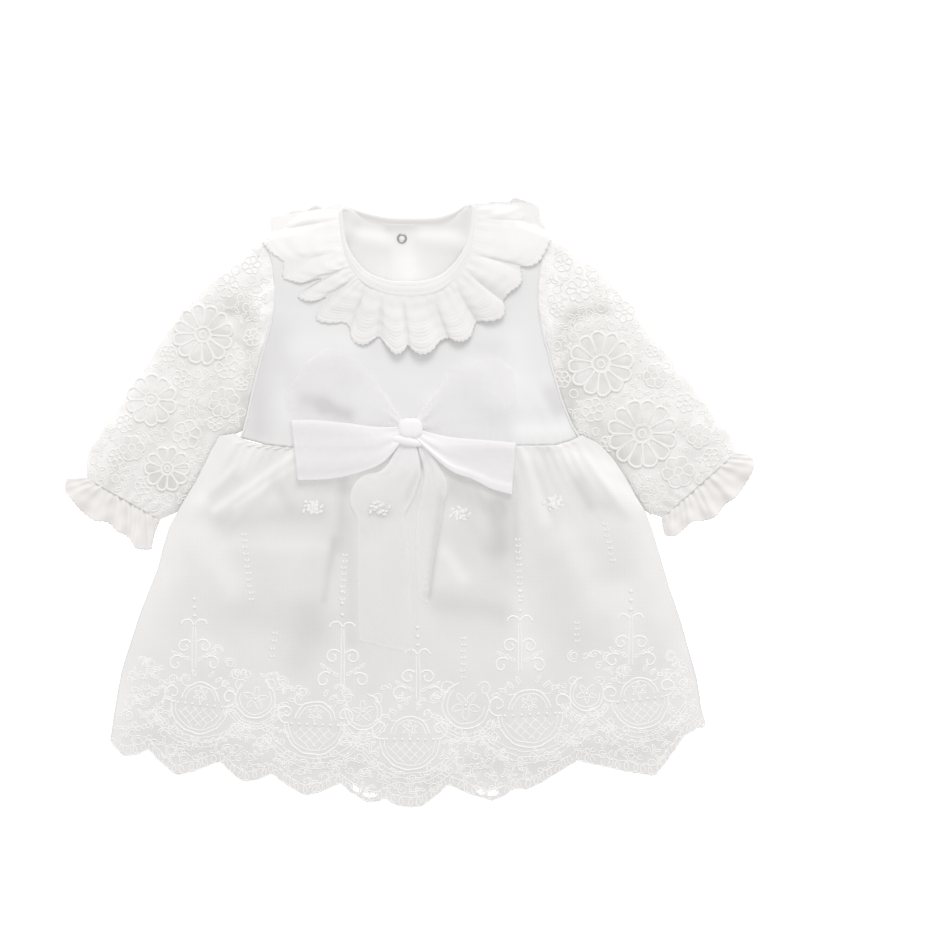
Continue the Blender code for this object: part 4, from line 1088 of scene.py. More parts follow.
def bandPlace(u, v):
    angle = tau * v
    across = 0.5 - 0.5 * cos(angle)
    x, y, mx, my, outerY = bandSection(u, across)
    back = bandBack(mx, my)
    middle = bandTop(mx, my)
    middle += (3.7 - middle) * back
    thick = 2 - 1.2 * back
    z = middle - thick + thick * max(0, sin(angle)) ** 0.4 - 0.65 * back * smoothStep((across - 0.2) / 0.6)
    if sin(angle) > 0:
        # stitches draw two grooves along the front
        front = smoothStep((200 - outerY) / 20)
        z -= 0.35 * front * (bell(across - 0.34, 0.05) + bell(across - 0.74, 0.05))
    return x, y, z


neckBand = makeCloth(
    "neckBand", 320, 36, bandPlace, litInnerLawn, "cotton", ["neck_binding"], size=(330, 24), wrap=True,
    paintedLight=bandPaintedShade,
)

# two rows of twin needle stitches along the front of the band
bandStitches = []
for across in (0.34, 0.74):
    for k in range(150):
        ends = []
        for part in (0.15, 0.45, 0.75):
            x, y, mx, my, _ = bandSection((k + part) / 150, across)
            ends.append((x, y, bandTop(mx, my) - 0.18))
        if ends[0][1] < 200:
            bandStitches.append((ends, 0.22, False))
makeCords("neckBandStitching", bandStitches, thread, "cotton", 0)
print("neck band made")


# collar

# ruffle sections round the front: inner edge x, y, outer edge x, y
collarRows = [
    (-54.6, 229.5, -107.4, 221.4), (-55.2, 225, -107.6, 218), (-55.3, 221.4, -107.2, 214.6),
    (-55.3, 218.8, -107.2, 210.4), (-55.2, 214.6, -108.4, 207), (-54.9, 209.6, -113, 203.4),
    (-54.2, 204.2, -109.6, 197.6), (-53, 199, -105.2, 192.6), (-51.8, 195, -97, 186.2),
    (-50.6, 191.6, -97.2, 175), (-49.6, 188.8, -90.4, 171.7), (-48.6, 186.6, -82.6, 170.2),
    (-47.6, 184.6, -74.4, 172.8), (-46.8, 183, -68.6, 172.6), (-46, 181.6, -84.4, 162.4),
    (-45, 179.8, -84.2, 158.4), (-43.8, 178, -77, 156.2), (-42.4, 176.2, -70.4, 157),
    (-41.2, 174.6, -64.6, 158.6), (-40, 173.2, -71, 147.4), (-38.8, 171.8, -70.8, 141.7),
    (-37.2, 170.2, -61.6, 139.4), (-35.4, 168.8, -50.4, 139.6), (-33.4, 167.6, -46.2, 135.5),
    (-31.4, 166.4, -45.4, 129), (-29.2, 165.2, -40.8, 124), (-26.6, 164, -34.2, 123.2),
    (-24, 162.8, -28.2, 126.4), (-21, 161.8, -23.6, 128.6), (-17.8, 160.8, -17, 121.2),
    (-14, 159.8, -10.6, 115.6), (-9.8, 159, -4.4, 118.4), (-5.6, 158.6, -1.4, 122.4),
    (-1.8, 158.5, 3.2, 117.8), (3, 158.6, 10.2, 115.5), (8, 159, 17.2, 118.5), (12.8, 159.8, 23, 125.4),
    (17, 160.8, 29.2, 127.8), (21, 162.4, 34.8, 125.5), (24.6, 164.4, 40.8, 125.5),
    (28.2, 166.4, 46.4, 129.4), (31, 168.2, 48.8, 135.6), (33.4, 170, 51.8, 140.6), (35.8, 172, 61.8, 140.8),
    (38, 174.4, 70.8, 144.2), (40.2, 177.2, 72.6, 152.2), (42, 179.8, 71.6, 156.6), (43.4, 181.8, 76.6, 163),
    (44.6, 184, 82.4, 167.2), (45.8, 186.8, 85.5, 172.2), (47, 189.8, 84.8, 179.4), (48, 192.6, 85.2, 182.8),
    (49, 196, 91.8, 183), (49.8, 200, 98.6, 186.6), (50.6, 204.6, 103.4, 194.6), (51, 209.4, 107.2, 203.4),
    (51.2, 213.6, 107.2, 209.6), (51.2, 216.8, 103.6, 214.4), (51.2, 219.6, 100.4, 218.4),
    (51.2, 223, 99.6, 225.8), (51, 227, 98.4, 229.6), (50.6, 231, 93.6, 232.4),
]
collar = {
    "columns": 460, "rows": 84, "picot": 0.9, "picots": 115, "ridge": 0.3, "ridges": 16, "overlap": 1,
    "crease": 0.7,
}
# rows of the table at which two scallops meet
collarNotches = (3, 8, 13, 18, 23, 28, 32, 37, 42, 46, 51, 58)
collarTop = relief("collar_front", 1, 1)


def scallopAt(u):
    # place along the table, share of the scallop passed and distance to the nearest notch
    place = u * (len(collarRows) - 1)
    near = min(abs(place - notch) for notch in collarNotches)
    for first, last in zip(collarNotches, collarNotches[1:]):
        if first <= place <= last:
            return place, (place - first) / (last - first), near
    return place, 0.5, near


def collarShape(u, v):
    # each scallop laps over the next one down, and is domed in the middle of the front
    place, share, near = scallopAt(u)
    lean = share if place < 32 else 1 - share
    front = bell(place - 32, 7)
    dome = max(0, sin(pi * share)) ** 0.6
    reach = smoothStep((v - 0.08) / 0.6)
    lap = collar["overlap"] * (lean ** 1.4 - 0.5) * (1 - front) + 0.5 * (dome - 0.6)
    crease = collar["crease"] * bell(near, 0.4) * smoothStep((v - 0.1) / 0.3)
    return lap * reach - crease, dome


def collarPlace(u, v):
    ix, iy, ox, oy = spline(collarRows, u)
    along = -0.06 + 1.06 * v
    picot = collar["picot"] / 40 * abs(sin(pi * collar["picots"] * u)) * smoothStep(v * 10 - 9)
    x, y = between((ix, iy), (ox, oy), along + picot)
    z = collarTop(*between((ix, iy), (ox, oy), min(max(along, 0.02), 0.985)))
    lap, dome = collarShape(u, v)
    pleat = 0.3 * sin(tau * 31 * u + 2 * sin(19 * u)) * exp(-v * 3) * smoothStep(v * 8)
    middle = 0.3 + 0.7 * bell(u - 0.53, 0.22)
    # rows of satin stitch that follow the scallop
    row = (collar["ridges"] * v + 0.8 * dome) % 1
    gate = smoothStep((v - 0.4) * 5) * smoothStep(dome * 2 - 0.7) * middle
    gate *= 0.7 + 0.3 * sin(u * 170 + 9 * v)
    rib = -collar["ridge"] * gate * bell(row - 0.5, 0.2)
    rib += 0.12 * sin(tau * u * 90 + 5 * v) * smoothStep(0.5 - v)
    border = 0.25 * bell(v - 0.965, 0.02)
    # the ruffle settles lower towards both shoulders
    shoulder = 204 + 0.4 * (x + 109.5) if x < 0 else 206 + 0.405 * (106 - x)
    over = smoothStep((y - shoulder + 2) / 6)
    settle = 2.3 * smoothStep((2 - x) / 40) + 1.4 * smoothStep((x - 58) / 25) + 1.4 * over
    settle *= smoothStep((v - 0.35) / 0.6)
    under = frontTop(x, y) if abs(x) < 108 else 4.2
    under += (1.3 - under) * over
    calm = 1 - 0.5 * smoothStep((y - 180) / 26)
    lowest = under + 1.1 - 0.25 * smoothStep(-x / 40)
    return x, y, max(lowest, z - settle + lap * calm) + pleat * calm + rib + border


def collarPaintedLight(x, y, u, v):
    # painted light towards both shoulders, more on the left, painted shade in the valleys where scallops meet,
    # and a little painted light on the outer half of the front scallops
    place, share, near = scallopAt(u)
    valley = bell(near, 0.5) * smoothStep((v - 0.1) / 0.3)
    front = bell(place - 32, 9)
    shoulder = smoothStep((y - 165) / 40)
    light = shoulder * (0.85 if x < 0 else 0.5)
    return light - 0.5 * valley * (1 - 0.6 * shoulder) + 0.2 * front * smoothStep((v - 0.5) * 3)


frontCollar = makeCloth(
    "collarRuffle", collar["columns"], collar["rows"], collarPlace, collarTrim, "trim", ["collar_front"], 0.8,
    (420, 42), paintedLight=collarPaintedLight,
)

# back halves of the ruffle, seen past each shoulder: outer edge then inner edge
collarBacks = {
    "left": {
        "outer": [
            (-21, 216), (-34, 221), (-46, 227), (-54, 231.2), (-66, 228.8), (-73, 230.8), (-80, 227),
            (-91, 226.2), (-98, 222.8), (-107.2, 221.2),
        ],
        "inner": [
            (-20, 172), (-40, 170), (-56, 171), (-72, 176), (-86, 184), (-98, 196), (-106.8, 212),
        ],
        "flat": (0.1, 0.062),
        "area": 0.0041,
    },
    "right": {
        "outer": [
            (-13, 215), (0, 214.6), (14, 215), (28, 219), (40, 225.6), (50, 232.2), (58, 231.8), (64, 233.6),
            (76, 233.4), (79.6, 236.6), (86, 235.2), (93.6, 232.4), (99.6, 228.4),
        ],
        "inner": [
            (-13, 170), (8, 168.4), (28, 168.4), (48, 170), (66, 175), (82, 184), (94, 198), (100.4, 214),
        ],
        "flat": (0.122, 0.07),
        "area": 0.006,
    },
}


def makeCollarBack(side):
    data = collarBacks[side]

    def place(u, v):
        x, y = between(spline(data["inner"], u), spline(data["outer"], u), v)
        wave = 0.22 * sin(tau * u * 14) * smoothStep(v * 2 - 0.8)
        rib = 0.08 * sin(tau * v * 22)
        return x, y, 0.95 + (wave + rib) * smoothStep(min(u, 1 - u) * 8)

    piece = makeCloth(
        side + "CollarBack", 110, 34, place, collarTrim, "trim", ["collar_back_" + side], 0.65,
        (data["flat"][0] / mm, data["flat"][1] / mm),
    )


makeCollarBack("left")
makeCollarBack("right")
print("collar made")


# skirt

skirt = {
    "left": [
        (-131.2, 51.2), (-146.8, 48.9), (-153.6, 37), (-163, 18), (-171.6, 3.6), (-178.2, -7), (-185.5, -20),
        (-190.2, -35.4), (-194, -50.8), (-200.2, -66.2), (-207.9, -85.5), (-215.6, -108.6), (-221.8, -127.8),
        (-225.6, -147.1), (-228.7, -166.3), (-231.2, -182.6),
    ],
    "right": [
        (131.2, 51.2), (144.6, 44.8), (156, 33.4), (165.8, 18.6), (174.4, 3.4), (181.6, -8), (186.6, -21),
        (193, -42), (200, -66), (208, -89.3), (215.6, -116.3), (221, -135.5), (224.8, -158.6),
        (227.2, -166.6),
    ],
    # scallops: notch x, y, tip x, y, half width of the tip
    "hem": [
        (-231.2, -182.6, -217.6, -195, 4), (-201.7, -189.2, -178.8, -209.6, 3),
        (-146.4, -198.6, -125.4, -214.4, 5), (-107, -207.8, -79.3, -225, 4),
        (-53.9, -215.6, -30.2, -230.6, 4.5), (-19.6, -226.8, 0.6, -234.4, 8.5), (29.6, -216.6, 63, -229, 4),
        (80.1, -219.5, 89, -220.6, 3.5), (128.6, -197.8, 185.6, -209.8, 4), (211.8, -178.6, 224.2, -173.4, 2),
    ],
    "hemEnd": (227.2, -166.6),
    # openwork loops: centre x, y, half length, half width, tilt in degrees
    "holes": [
        (-41, -219.4, 4, 2.3, -38), (-30.6, -223.6, 5, 2.4, 0), (54.4, -221.6, 3.2, 2.1, -24),
        (63.6, -222.4, 4.4, 2.6, 8),
    ],
    "columns": 220,
    "rows": 134,
    "gatherPitch": 7.5,
    "gatherHigh": 0.8,
    "gatherReach": 20,
}


def hemPoints():
    found = []
    hem = skirt["hem"]
    for i, (nx, ny, tx, ty, half) in enumerate(hem):
        ex, ey = hem[i + 1][0:2] if i + 1 < len(hem) else skirt["hemEnd"]
        found.append((nx, ny))
        down = (tx - half, ty + 1.2)
        up = (tx + half, ty + 1.2)
        for a, b, t, bulge in (
            ((nx, ny), down, 0.35, 0.7), ((nx, ny), down, 0.7, 1), (down, (tx, ty), 0, 0),
            (down, (tx, ty), 1, 0), (up, up, 0, 0), (up, (ex, ey), 0.3, 1), (up, (ex, ey), 0.65, 0.7),
        ):
            x, y = between(a, b, t)
            found.append((x, y - bulge))
    found.append(skirt["hemEnd"])
    return found


hemLine = hemPoints()
skirtWaist = [(x, y - 0.4) for x, y in bodice["waist"]]


def skirtSide(x, y):
    # distance to the nearer side edge
    return min(lineDistance(skirt["left"], x, y), lineDistance(skirt["right"], x, y))


def skirtAcross(u, leftY, rightY):
    return lookUp(skirt["left"], leftY, 1) * (1 - u) + lookUp(skirt["right"], rightY, 1) * u


def skirtPlan(u, v):
    # waist at v 0, hem at v 1
    x = skirtAcross(u, 50.6 - 233.2 * v, 50.6 - 217.2 * v)
    # both ends of the gathers puff up beside the bodice
    top = lookUp(skirtWaist, -131.2 + 262.4 * u)
    top += 3 * bell(u, 0.02) + 1.6 * bell(1 - u, 0.02)
    low = lookUp(hemLine, -231.2 + 458.4 * u)
    return x, top + (low - top) * v


skirtRelief = relief("skirt_front")
# fine folds that the relief of the cloth carries
fineFolds = [
    (-55, 20, -72, -75, 4.5, 0.9), (-62, 0, -46, -104, 4, 0.7), (30, 8, 66, -56, 8, -1),
    (46, 30, 70, -20, 5, 0.8), (-24, 20, -30, -140, 5, 0.6), (98, 34, 120, -30, 4, 0.8),
    (-100, 24, -150, -30, 4, 0.7), (-120, 42, -160, 2, 3.5, 0.9), (140, 30, 168, -10, 3.5, 0.9),
    (10, -60, 8, -150, 7, 0.5), (90, -50, 104, -150, 7, 0.6), (-110, -60, -124, -150, 7, 0.5),
    (150, -70, 168, -160, 7, 0.6),
]
# painted light and shade on the skirt net: painted shade in its hollows, in its fold valleys and in a narrow
# line between the bow's tails; painted light on its puffed ridges and in patches lower down
skirtPaintedLight = [
    (69.3, -3.1, 69.3, -32.3, 10, -0.8), (34, 12, 66, -2, 9.5, -0.45), (11, 35, -2.5, 5, 2.2, -1),
    (40, -20, 69.3, -52.4, 15.4, -0.3), (24.2, 4.6, 14, -70.1, 2.8, -0.85),
    (23.1, -75.5, 69.3, -83.2, 10, -0.38), (-50.6, 18.5, -54.6, -34, 5, -0.45),
    (-58.5, -27.7, -66, -74, 3, -0.42), (-75.5, -83.2, -84.7, -120.1, 12, -0.26),
    (-144.8, -13.9, -69.3, -6.2, 8.5, -0.4), (-127, -78.5, -69.3, -93.2, 15.4, -0.26),
    (-46.2, -12.3, -44.7, -104.7, 5.4, -0.25), (115.5, -43.1, 127, -104.7, 15.4, -0.25),
    (-84.7, 15.2, -44.7, 12.1, 5.4, -0.4), (-160, -24, -134, -66, 12, 0.35), (118, -24, 146, -72, 12, 0.3),
    (-151.7, 7.7, -134.8, 20, 5.4, -0.5), (129.4, 16.9, 138.6, -0.8, 5.4, -0.5),
    (80.9, 20, 82.4, -43.1, 3.1, -0.3), (-90.9, 37.7, -150.2, -4.6, 3.1, 0.6),
    (-80.1, 35.4, -134, -1.5, 2.3, 0.45), (-114, 44.7, -160.2, 3.1, 5.4, 0.35),
    (88.5, 41.6, 104, -12.3, 5.4, 0.5), (115.5, 41.6, 178.6, 1.5, 6.9, 0.5),
    (-142.5, -31.6, -65.5, -32.3, 5.4, 0.2), (26.9, -37, 40.8, -57, 5.4, 0.4),
    (115.5, 44.7, 161.7, 26.2, 4.6, 0.3), (150.2, -0.8, 165.6, -8.5, 5.4, -0.3),
    (-104, 18.5, -92.4, -0.8, 5.4, -0.25), (-157.8, -104.7, -150.2, -116.3, 9.2, 0.2),
    (84.7, -73.9, 92.4, -120.1, 9.2, 0.25), (161.7, -66.2, 169.4, -104.7, 10.8, 0.3),
]


def skirtPaintedLightAt(x, y, u, v):
    # the table's painted light and shade, and painted light along both side edges
    return paintedLightOf(skirtPaintedLight, x, y) + 0.45 * bell(skirtSide(x, y), 20)


def skirtTop(x, y):
    fall = lineDistance(skirtWaist, x, y) if y > -20 else 99
    spread = x * (1 - 0.0035 * fall)
    gather = skirt["gatherHigh"] * sin(tau * spread / skirt["gatherPitch"] + 1.7 * sin(spread * 0.11))
    gather *= exp(-fall / skirt["gatherReach"]) * smoothStep(fall / 3)
    raised = foldsAt(fineFolds, x, y, 1.4, 0.12) + gather
    return skirtRelief(x, y) + raised * smoothStep(skirtSide(x, y) / 8)


def inHole(centre, wider=1):
    for cx, cy, long, wide, tilt in skirt["holes"]:
        along, side = placed(0, 0, -radians(tilt), centre.x - cx, centre.y - cy)
        if (along / long) ** 2 + (side / wide) ** 2 < 0.95 * wider * wider:
            return True
    return False


def skirtFrontPlace(u, v):
    x, y = skirtPlan(u, v)
    return x, y, skirtTop(x, y)


frontSkirt = makeCloth(
    "frontSkirtNet", skirt["columns"], skirt["rows"], skirtFrontPlace, tulle, "net", ["skirt_front"], 0.5,
    (440, 270), drop=inHole, paintedLight=skirtPaintedLightAt,
)
backSkirt = makeCloth(
    "backSkirtNet", 160, 60, lambda u, v: (*skirtPlan(u, v), 0.95), tulle, "net", ["skirt_back"], 0.9,
    (440, 270), drop=lambda centre: inHole(centre, 1.7),
)

liningHem = [
    (-231, -156), (-226, -160), (-150, -178), (-60, -192), (20, -196), (110, -186), (180, -174), (222, -150),
    (230, -146),
]
liningTop = relief("lining_front")


def liningPlace(u, v):
    x = skirtAcross(u, 50.6 - 212 * v, 50.6 - 203 * v)
    top = lookUp(skirtWaist, -131.2 + 262.4 * u)
    low = lookUp(liningHem, -226 + 448 * u)
    y = top + (low - top) * v
    return x, y, max(liningTop(x, y) - 1.2, skirtTop(x, y) - 1.35)


frontLining = makeCloth(
    "frontLining", 100, 66, liningPlace, liningLawn, "cotton", ["lining_front"], 0.7, (420, 240),
)
print("skirt made")


# skirt embroidery

stitch = {"line": 0.56, "bold": 0.8, "swag": 0.5, "lift": -0.15}
# big medallions: centre x, y, size, lean
medallions = [
    (-161.7, -154.8, 22, -0.1), (-73.2, -170.2, 23, -0.05), (0, -181.7, 23, 0), (92.4, -162.5, 25, 0.05),
    (177.1, -150.9, 22, 0.12),
]
# round motifs between them: centre x, y, radius
rounds = [(-119, -150, 15), (-36, -160, 14), (43, -155, 18), (136, -146, 13)]
# stems above the medallions: x, y of the foot, y of the top
stems = [(-166, -126, -72), (-52, -140, -66), (6, -150, -94), (84.7, -128, -66), (170, -124, -66)]
# columns of dots: start x, y, end x, y
dotColumns = [
    (-128, -24, -122, -74), (-50, -40, -52, -74), (12, -36, 12, -66), (83, -28, 85, -72),
    (150, -16, 156, -44), (-104, -100, -106, -118), (41, -104, 41, -134), (128.6, -92, 128.6, -106),
]
sprigs = [(-75, -2.8), (38.6, -7.4), (111, 1)]

strokes = []
beads = []


def sew(points, radius=stitch["line"], closed=False):
    strokes.append((points, radius, closed))


def sewLeaf(x, y, angle, long, wide, steps=9):
    sew(leafLoop(x, y, angle, long, wide, steps), closed=True)


def turned(points, cx, cy, angle):
    return [placed(cx, cy, angle, x - cx, y - cy) for x, y in points]


def addMedallion(cx, cy, size, lean):
    first = len(strokes)
    bold = stitch["bold"]
    # bowl filled with a lattice
    sew(arc(cx, cy, size, pi * 0.98, pi * 2.02), bold)
    sew(arc(cx, cy, size * 0.86, pi, tau))
    pitch = size * 0.2
    for k in range(-5, 6):
        for slant in (1, -1):
            inside = []
            for j in range(25):
                x = -size + 2 * size * j / 24
                y = slant * (x - k * pitch * 1.6)
                if y < -size * 0.06 and x * x + y * y < (size * 0.82) ** 2:
                    inside.append((cx + x, cy + y))
            if len(inside) > 2:
                sew(inside, stitch["line"] * 0.85)
    for k in range(-3, 4):
        beads.append((*placed(cx, cy, lean, k * size * 0.26, size * 0.02), 1.2, 1.2, lean, 0.7))
    # arch above the bowl with a flower in it
    sew(arc(cx, cy + size * 0.12, size * 0.66, 0.1, pi - 0.1), bold)
    sew(arc(cx, cy + size * 0.12, size * 0.54, 0.12, pi - 0.12))
    for k in range(6):
        angle = tau * k / 6 + 0.5
        foot = placed(cx, cy + size * 0.36, angle, 1.6, 0)
        sewLeaf(*foot, angle, size * 0.2, size * 0.12)
    # scrolls at both sides
    for way in (-1, 1):
        base = 0 if way > 0 else pi
        sew(curl(cx + way * size * 0.98, cy + size * 0.36, size * 0.34, base - way * 1.9, way * 1.15), bold)
        sew(curl(cx + way * size * 0.55, cy + size * 0.86, size * 0.24, base - way * 2.2, way))
        for j in range(4):
            angle = pi * 0.5 - way * (0.5 + 0.42 * j)
            foot = (cx + way * size * (0.25 + 0.22 * j), cy + size * (0.98 - 0.1 * j))
            sewLeaf(*foot, angle, size * 0.26, size * 0.13)
    # triple swag below
    for j in range(3):
        drop = size * (1.12 + 0.17 * j)
        across = [-1 + 2 * k / 40 for k in range(41)]
        swag = [(cx + t * size * 1.62, cy - drop + (abs(t) ** 2.2) * size * 0.95) for t in across]
        sew(swag, stitch["swag"])
    strokes[first:] = [(turned(points, cx, cy, lean), *rest) for points, *rest in strokes[first:]]


def addRound(cx, cy, r):
    tilt = 0.4 * sin(cx)
    sew(arc(cx, cy, r, tilt + 2.2, tilt + 7.2), stitch["bold"])
    sew(arc(cx, cy, r * 0.8, tilt + 2.6, tilt + 6.6))
    sew(curl(cx - r * 0.8, cy + r * 0.7, r * 0.34, 0.4, 1.1))
    sew(curl(cx + r * 0.8, cy + r * 0.7, r * 0.34, 2.7, -1.1))
    for k in range(5):
        angle = tau * k / 5 + tilt
        sewLeaf(*placed(cx, cy, angle, r * 0.14, 0), angle, r * 0.5, r * 0.34)
    beads.append((cx, cy, 1.3, 1.3, 0, 0.7))
    for j in range(3):
        sew(arc(cx, cy - r * 0.1, r * (1.16 + 0.15 * j), pi * 1.12, pi * 1.88), stitch["swag"])


def addStem(x, low, high):
    long = high - low
    for way in (-1, 1):
        sew([(x + way * 1.3, low), (x + way * 1.3, low + long * 0.35), (x + way, low + long * 0.6)])
    for way in (-1, 1):
        base = 0 if way > 0 else pi
        sew(curl(x + way * 7.5, low + long * 0.3, 6, base + way * 2.6, -way * 1.1), stitch["bold"])
        sew(curl(x + way * 14, low + long * 0.06, 6.5, base + way * 2.4, -way), stitch["bold"])
        sew(arc(x + way * 5.2, low + long * 0.6, 4.6, 0.2, pi - 0.2), stitch["bold"])
        for j in range(3):
            foot = (x + way * (3 + 5 * j), low + long * (0.1 + 0.04 * j))
            sewLeaf(*foot, pi * 0.5 - way * 0.9, 5.4, 2.6)
    for j in range(3):
        y = low + long * (0.74 + 0.12 * j)
        beads.append((x, y, 1.9, 0.9, 0, 0.6))
        beads.append((x, y, 1.7, 0.8, pi / 2, 0.6))


for medallion in medallions:
    addMedallion(*medallion)
for motif in rounds:
    addRound(*motif)
for stem in stems:
    addStem(*stem)
for ax, ay, bx, by in dotColumns:
    count = max(3, int(dist((ax, ay), (bx, by)) / 4.6))
    for k in range(count + 1):
        x, y = between((ax, ay), (bx, by), k / count)
        x += 0.4 * sin(k * 2.2)
        beads += [(x - 1.2, y + 0.5, 1.5, 0.75, 2.2, 0.35), (x + 1.2, y + 0.5, 1.5, 0.75, 0.95, 0.35)]


def sprigAt(x, y):
    # a worked flower of small dots in two rings
    found = [(x, y, 1.4, 1.3, 0, 0.2)]
    for k in range(6):
        angle = 0.5 + tau * k / 6 + 0.25 * sin(3 * k + x)
        away = 3.1 + 0.3 * sin(2 * k + x)
        found.append((x + away * cos(angle), y + away * 0.85 * sin(angle), 2.5, 1.9, angle, 0.1))
    for k in range(9):
        angle = 0.2 + tau * k / 9 + 0.2 * sin(5 * k + y)
        away = 6.6 + 1.3 * sin(2.6 * k + x)
        found.append((x + away * cos(angle), y + away * 0.7 * sin(angle), 2.3, 1.3, angle + 0.7, 0.08))
    return found


for x, y in sprigs:
    beads += sprigAt(x, y)

# small scrolls, arches and sprays fill the band between the large motifs
takenSpots = [row[0:3] for row in medallions + rounds]
takenSpots += [(x, low + (high - low) * 0.3, 15) for x, low, high in stems]
filling = {"pitch": 7.6, "low": 11}


def addFilling(x, y, number):
    turn = 2.4 * number
    kind = number % 5
    if kind == 0:
        sew(curl(x, y, 3.6, turn, 1.2))
    elif kind == 1:
        for k in range(3):
            sewLeaf(x, y, turn + 2.1 * k, 4.8, 2.3)
    elif kind == 2:
        tilt = 0.5 * sin(number)
        for r in (4.4, 3):
            sew(arc(x, y, r, tilt + 0.1, tilt + pi - 0.1, 10))
    elif kind == 3:
        sew(ring(x, y, 2.6), closed=True)
        sew(arc(x, y, 4.3, turn, turn + 3.6, 12))
    else:
        sew(curl(x - 2, y, 2.8, turn, 1))
        sew(curl(x + 2.4, y + 1.2, 2.4, turn + 2, -1))


number = 0
for row in range(13):
    for column in range(61):
        number += 1
        x = -226 + filling["pitch"] * (column + 0.5 * (row % 2)) + 1.8 * sin(number * 2.3)
        y = lookUp(hemLine, x) + filling["low"] + row * filling["pitch"] * 0.88 + 1.8 * sin(number * 1.1)
        if skirtSide(x, y) < 6 or not lookUp(skirt["left"], y, 1) < x < lookUp(skirt["right"], y, 1):
            continue
        if any(hypot(x - cx, y - cy) < r + 2.6 for cx, cy, r in takenSpots):
            continue
        # the band thins out upward
        if row > 7 and (sin(number * 12.9) * 0.5 + 0.5) < 0.18 * (row - 7) + 0.1:
            continue
        addFilling(x, y, number)

# loops along the scalloped edge, and the corded edge itself
hemLong = [0]
for a, b in zip(hemLine, hemLine[1:]):
    hemLong.append(hemLong[-1] + dist(a, b))
total = hemLong[-1]


def alongHem(distance):
    for i in range(len(hemLong) - 1):
        if distance <= hemLong[i + 1]:
            t = (distance - hemLong[i]) / max(1e-6, hemLong[i + 1] - hemLong[i])
            return between(hemLine[i], hemLine[i + 1], t)
    return hemLine[-1]


edgeCord = [alongHem(total * k / 420) for k in range(421)]
sew([(x, y + 0.6) for x, y in edgeCord], 0.6)
sew([(x, y + 8) for x, y in edgeCord[8:-8]])
loops = 84
for k in range(1, loops):
    x, y = alongHem(total * k / loops)
    sewLeaf(x, y + 1.4, pi * 0.5 + 0.35 * sin(k * 1.9), 6, 4.2, 10)
for cx, cy, long, wide, tilt in skirt["holes"]:
    sew(turned(ring(cx, cy, long + 0.3, wide + 0.3), cx, cy, radians(tilt)), 0.6, True)
makeCords("skirtEmbroidery", onTop(strokes, skirtTop, stitch["lift"], 0.5, 0.45), thread, "net", 0)
makeBeads("skirtSatinDots", beads, lambda x, y: skirtTop(x, y) + 0.05, "net")
print("skirt embroidery made", len(strokes), "strokes,", len(beads), "dots")


# bow

# loops from the knot to the tip: upper edge x, y, lower edge x, y
bowLoops = {
    "upper_left": {
        "flat": (0.205, 0.046),
        "rows": [
            (-5, 63.6, -6, 57.4), (-19.2, 86.2, -34, 61.6), (-33.9, 106.3, -55.4, 64.6),
            (-50, 118.6, -78.5, 66.8), (-65.4, 119.4, -92.4, 70), (-80, 109.3, -96.2, 81),
        ],
    },
    "upper_right": {
        "flat": (0.18, 0.048),
        "rows": [
            (4, 64, 5, 57.6), (20.8, 89.3, 27, 59.4), (34.7, 106.3, 44.6, 59), (50.8, 114, 61.6, 60.8),
            (65.5, 114.7, 73.2, 66.2), (78.5, 104.7, 82.4, 78.6),
        ],
    },
    "lower_left": {
        "flat": (0.17, 0.04),
        "rows": [
            (-4, 59.4, -3, 52.2), (-27, 59.4, -20, 32.6), (-50, 62.4, -40, 23.9), (-73.2, 64.6, -61.6, 19.3),
            (-90, 64.6, -84.7, 18.5),
        ],
    },
    "lower_right": {
        "flat": (0.16, 0.036),
        "rows": [
            (3, 58.4, 3.4, 50.6), (27, 52.2, 29.3, 27), (46.2, 50, 47.8, 19.3), (65.5, 48.6, 63.1, 11.6),
            (80.2, 47.2, 77, 7.7),
        ],
    },
}
loopShape = {"along": 96, "across": 26, "turn": 0.06}


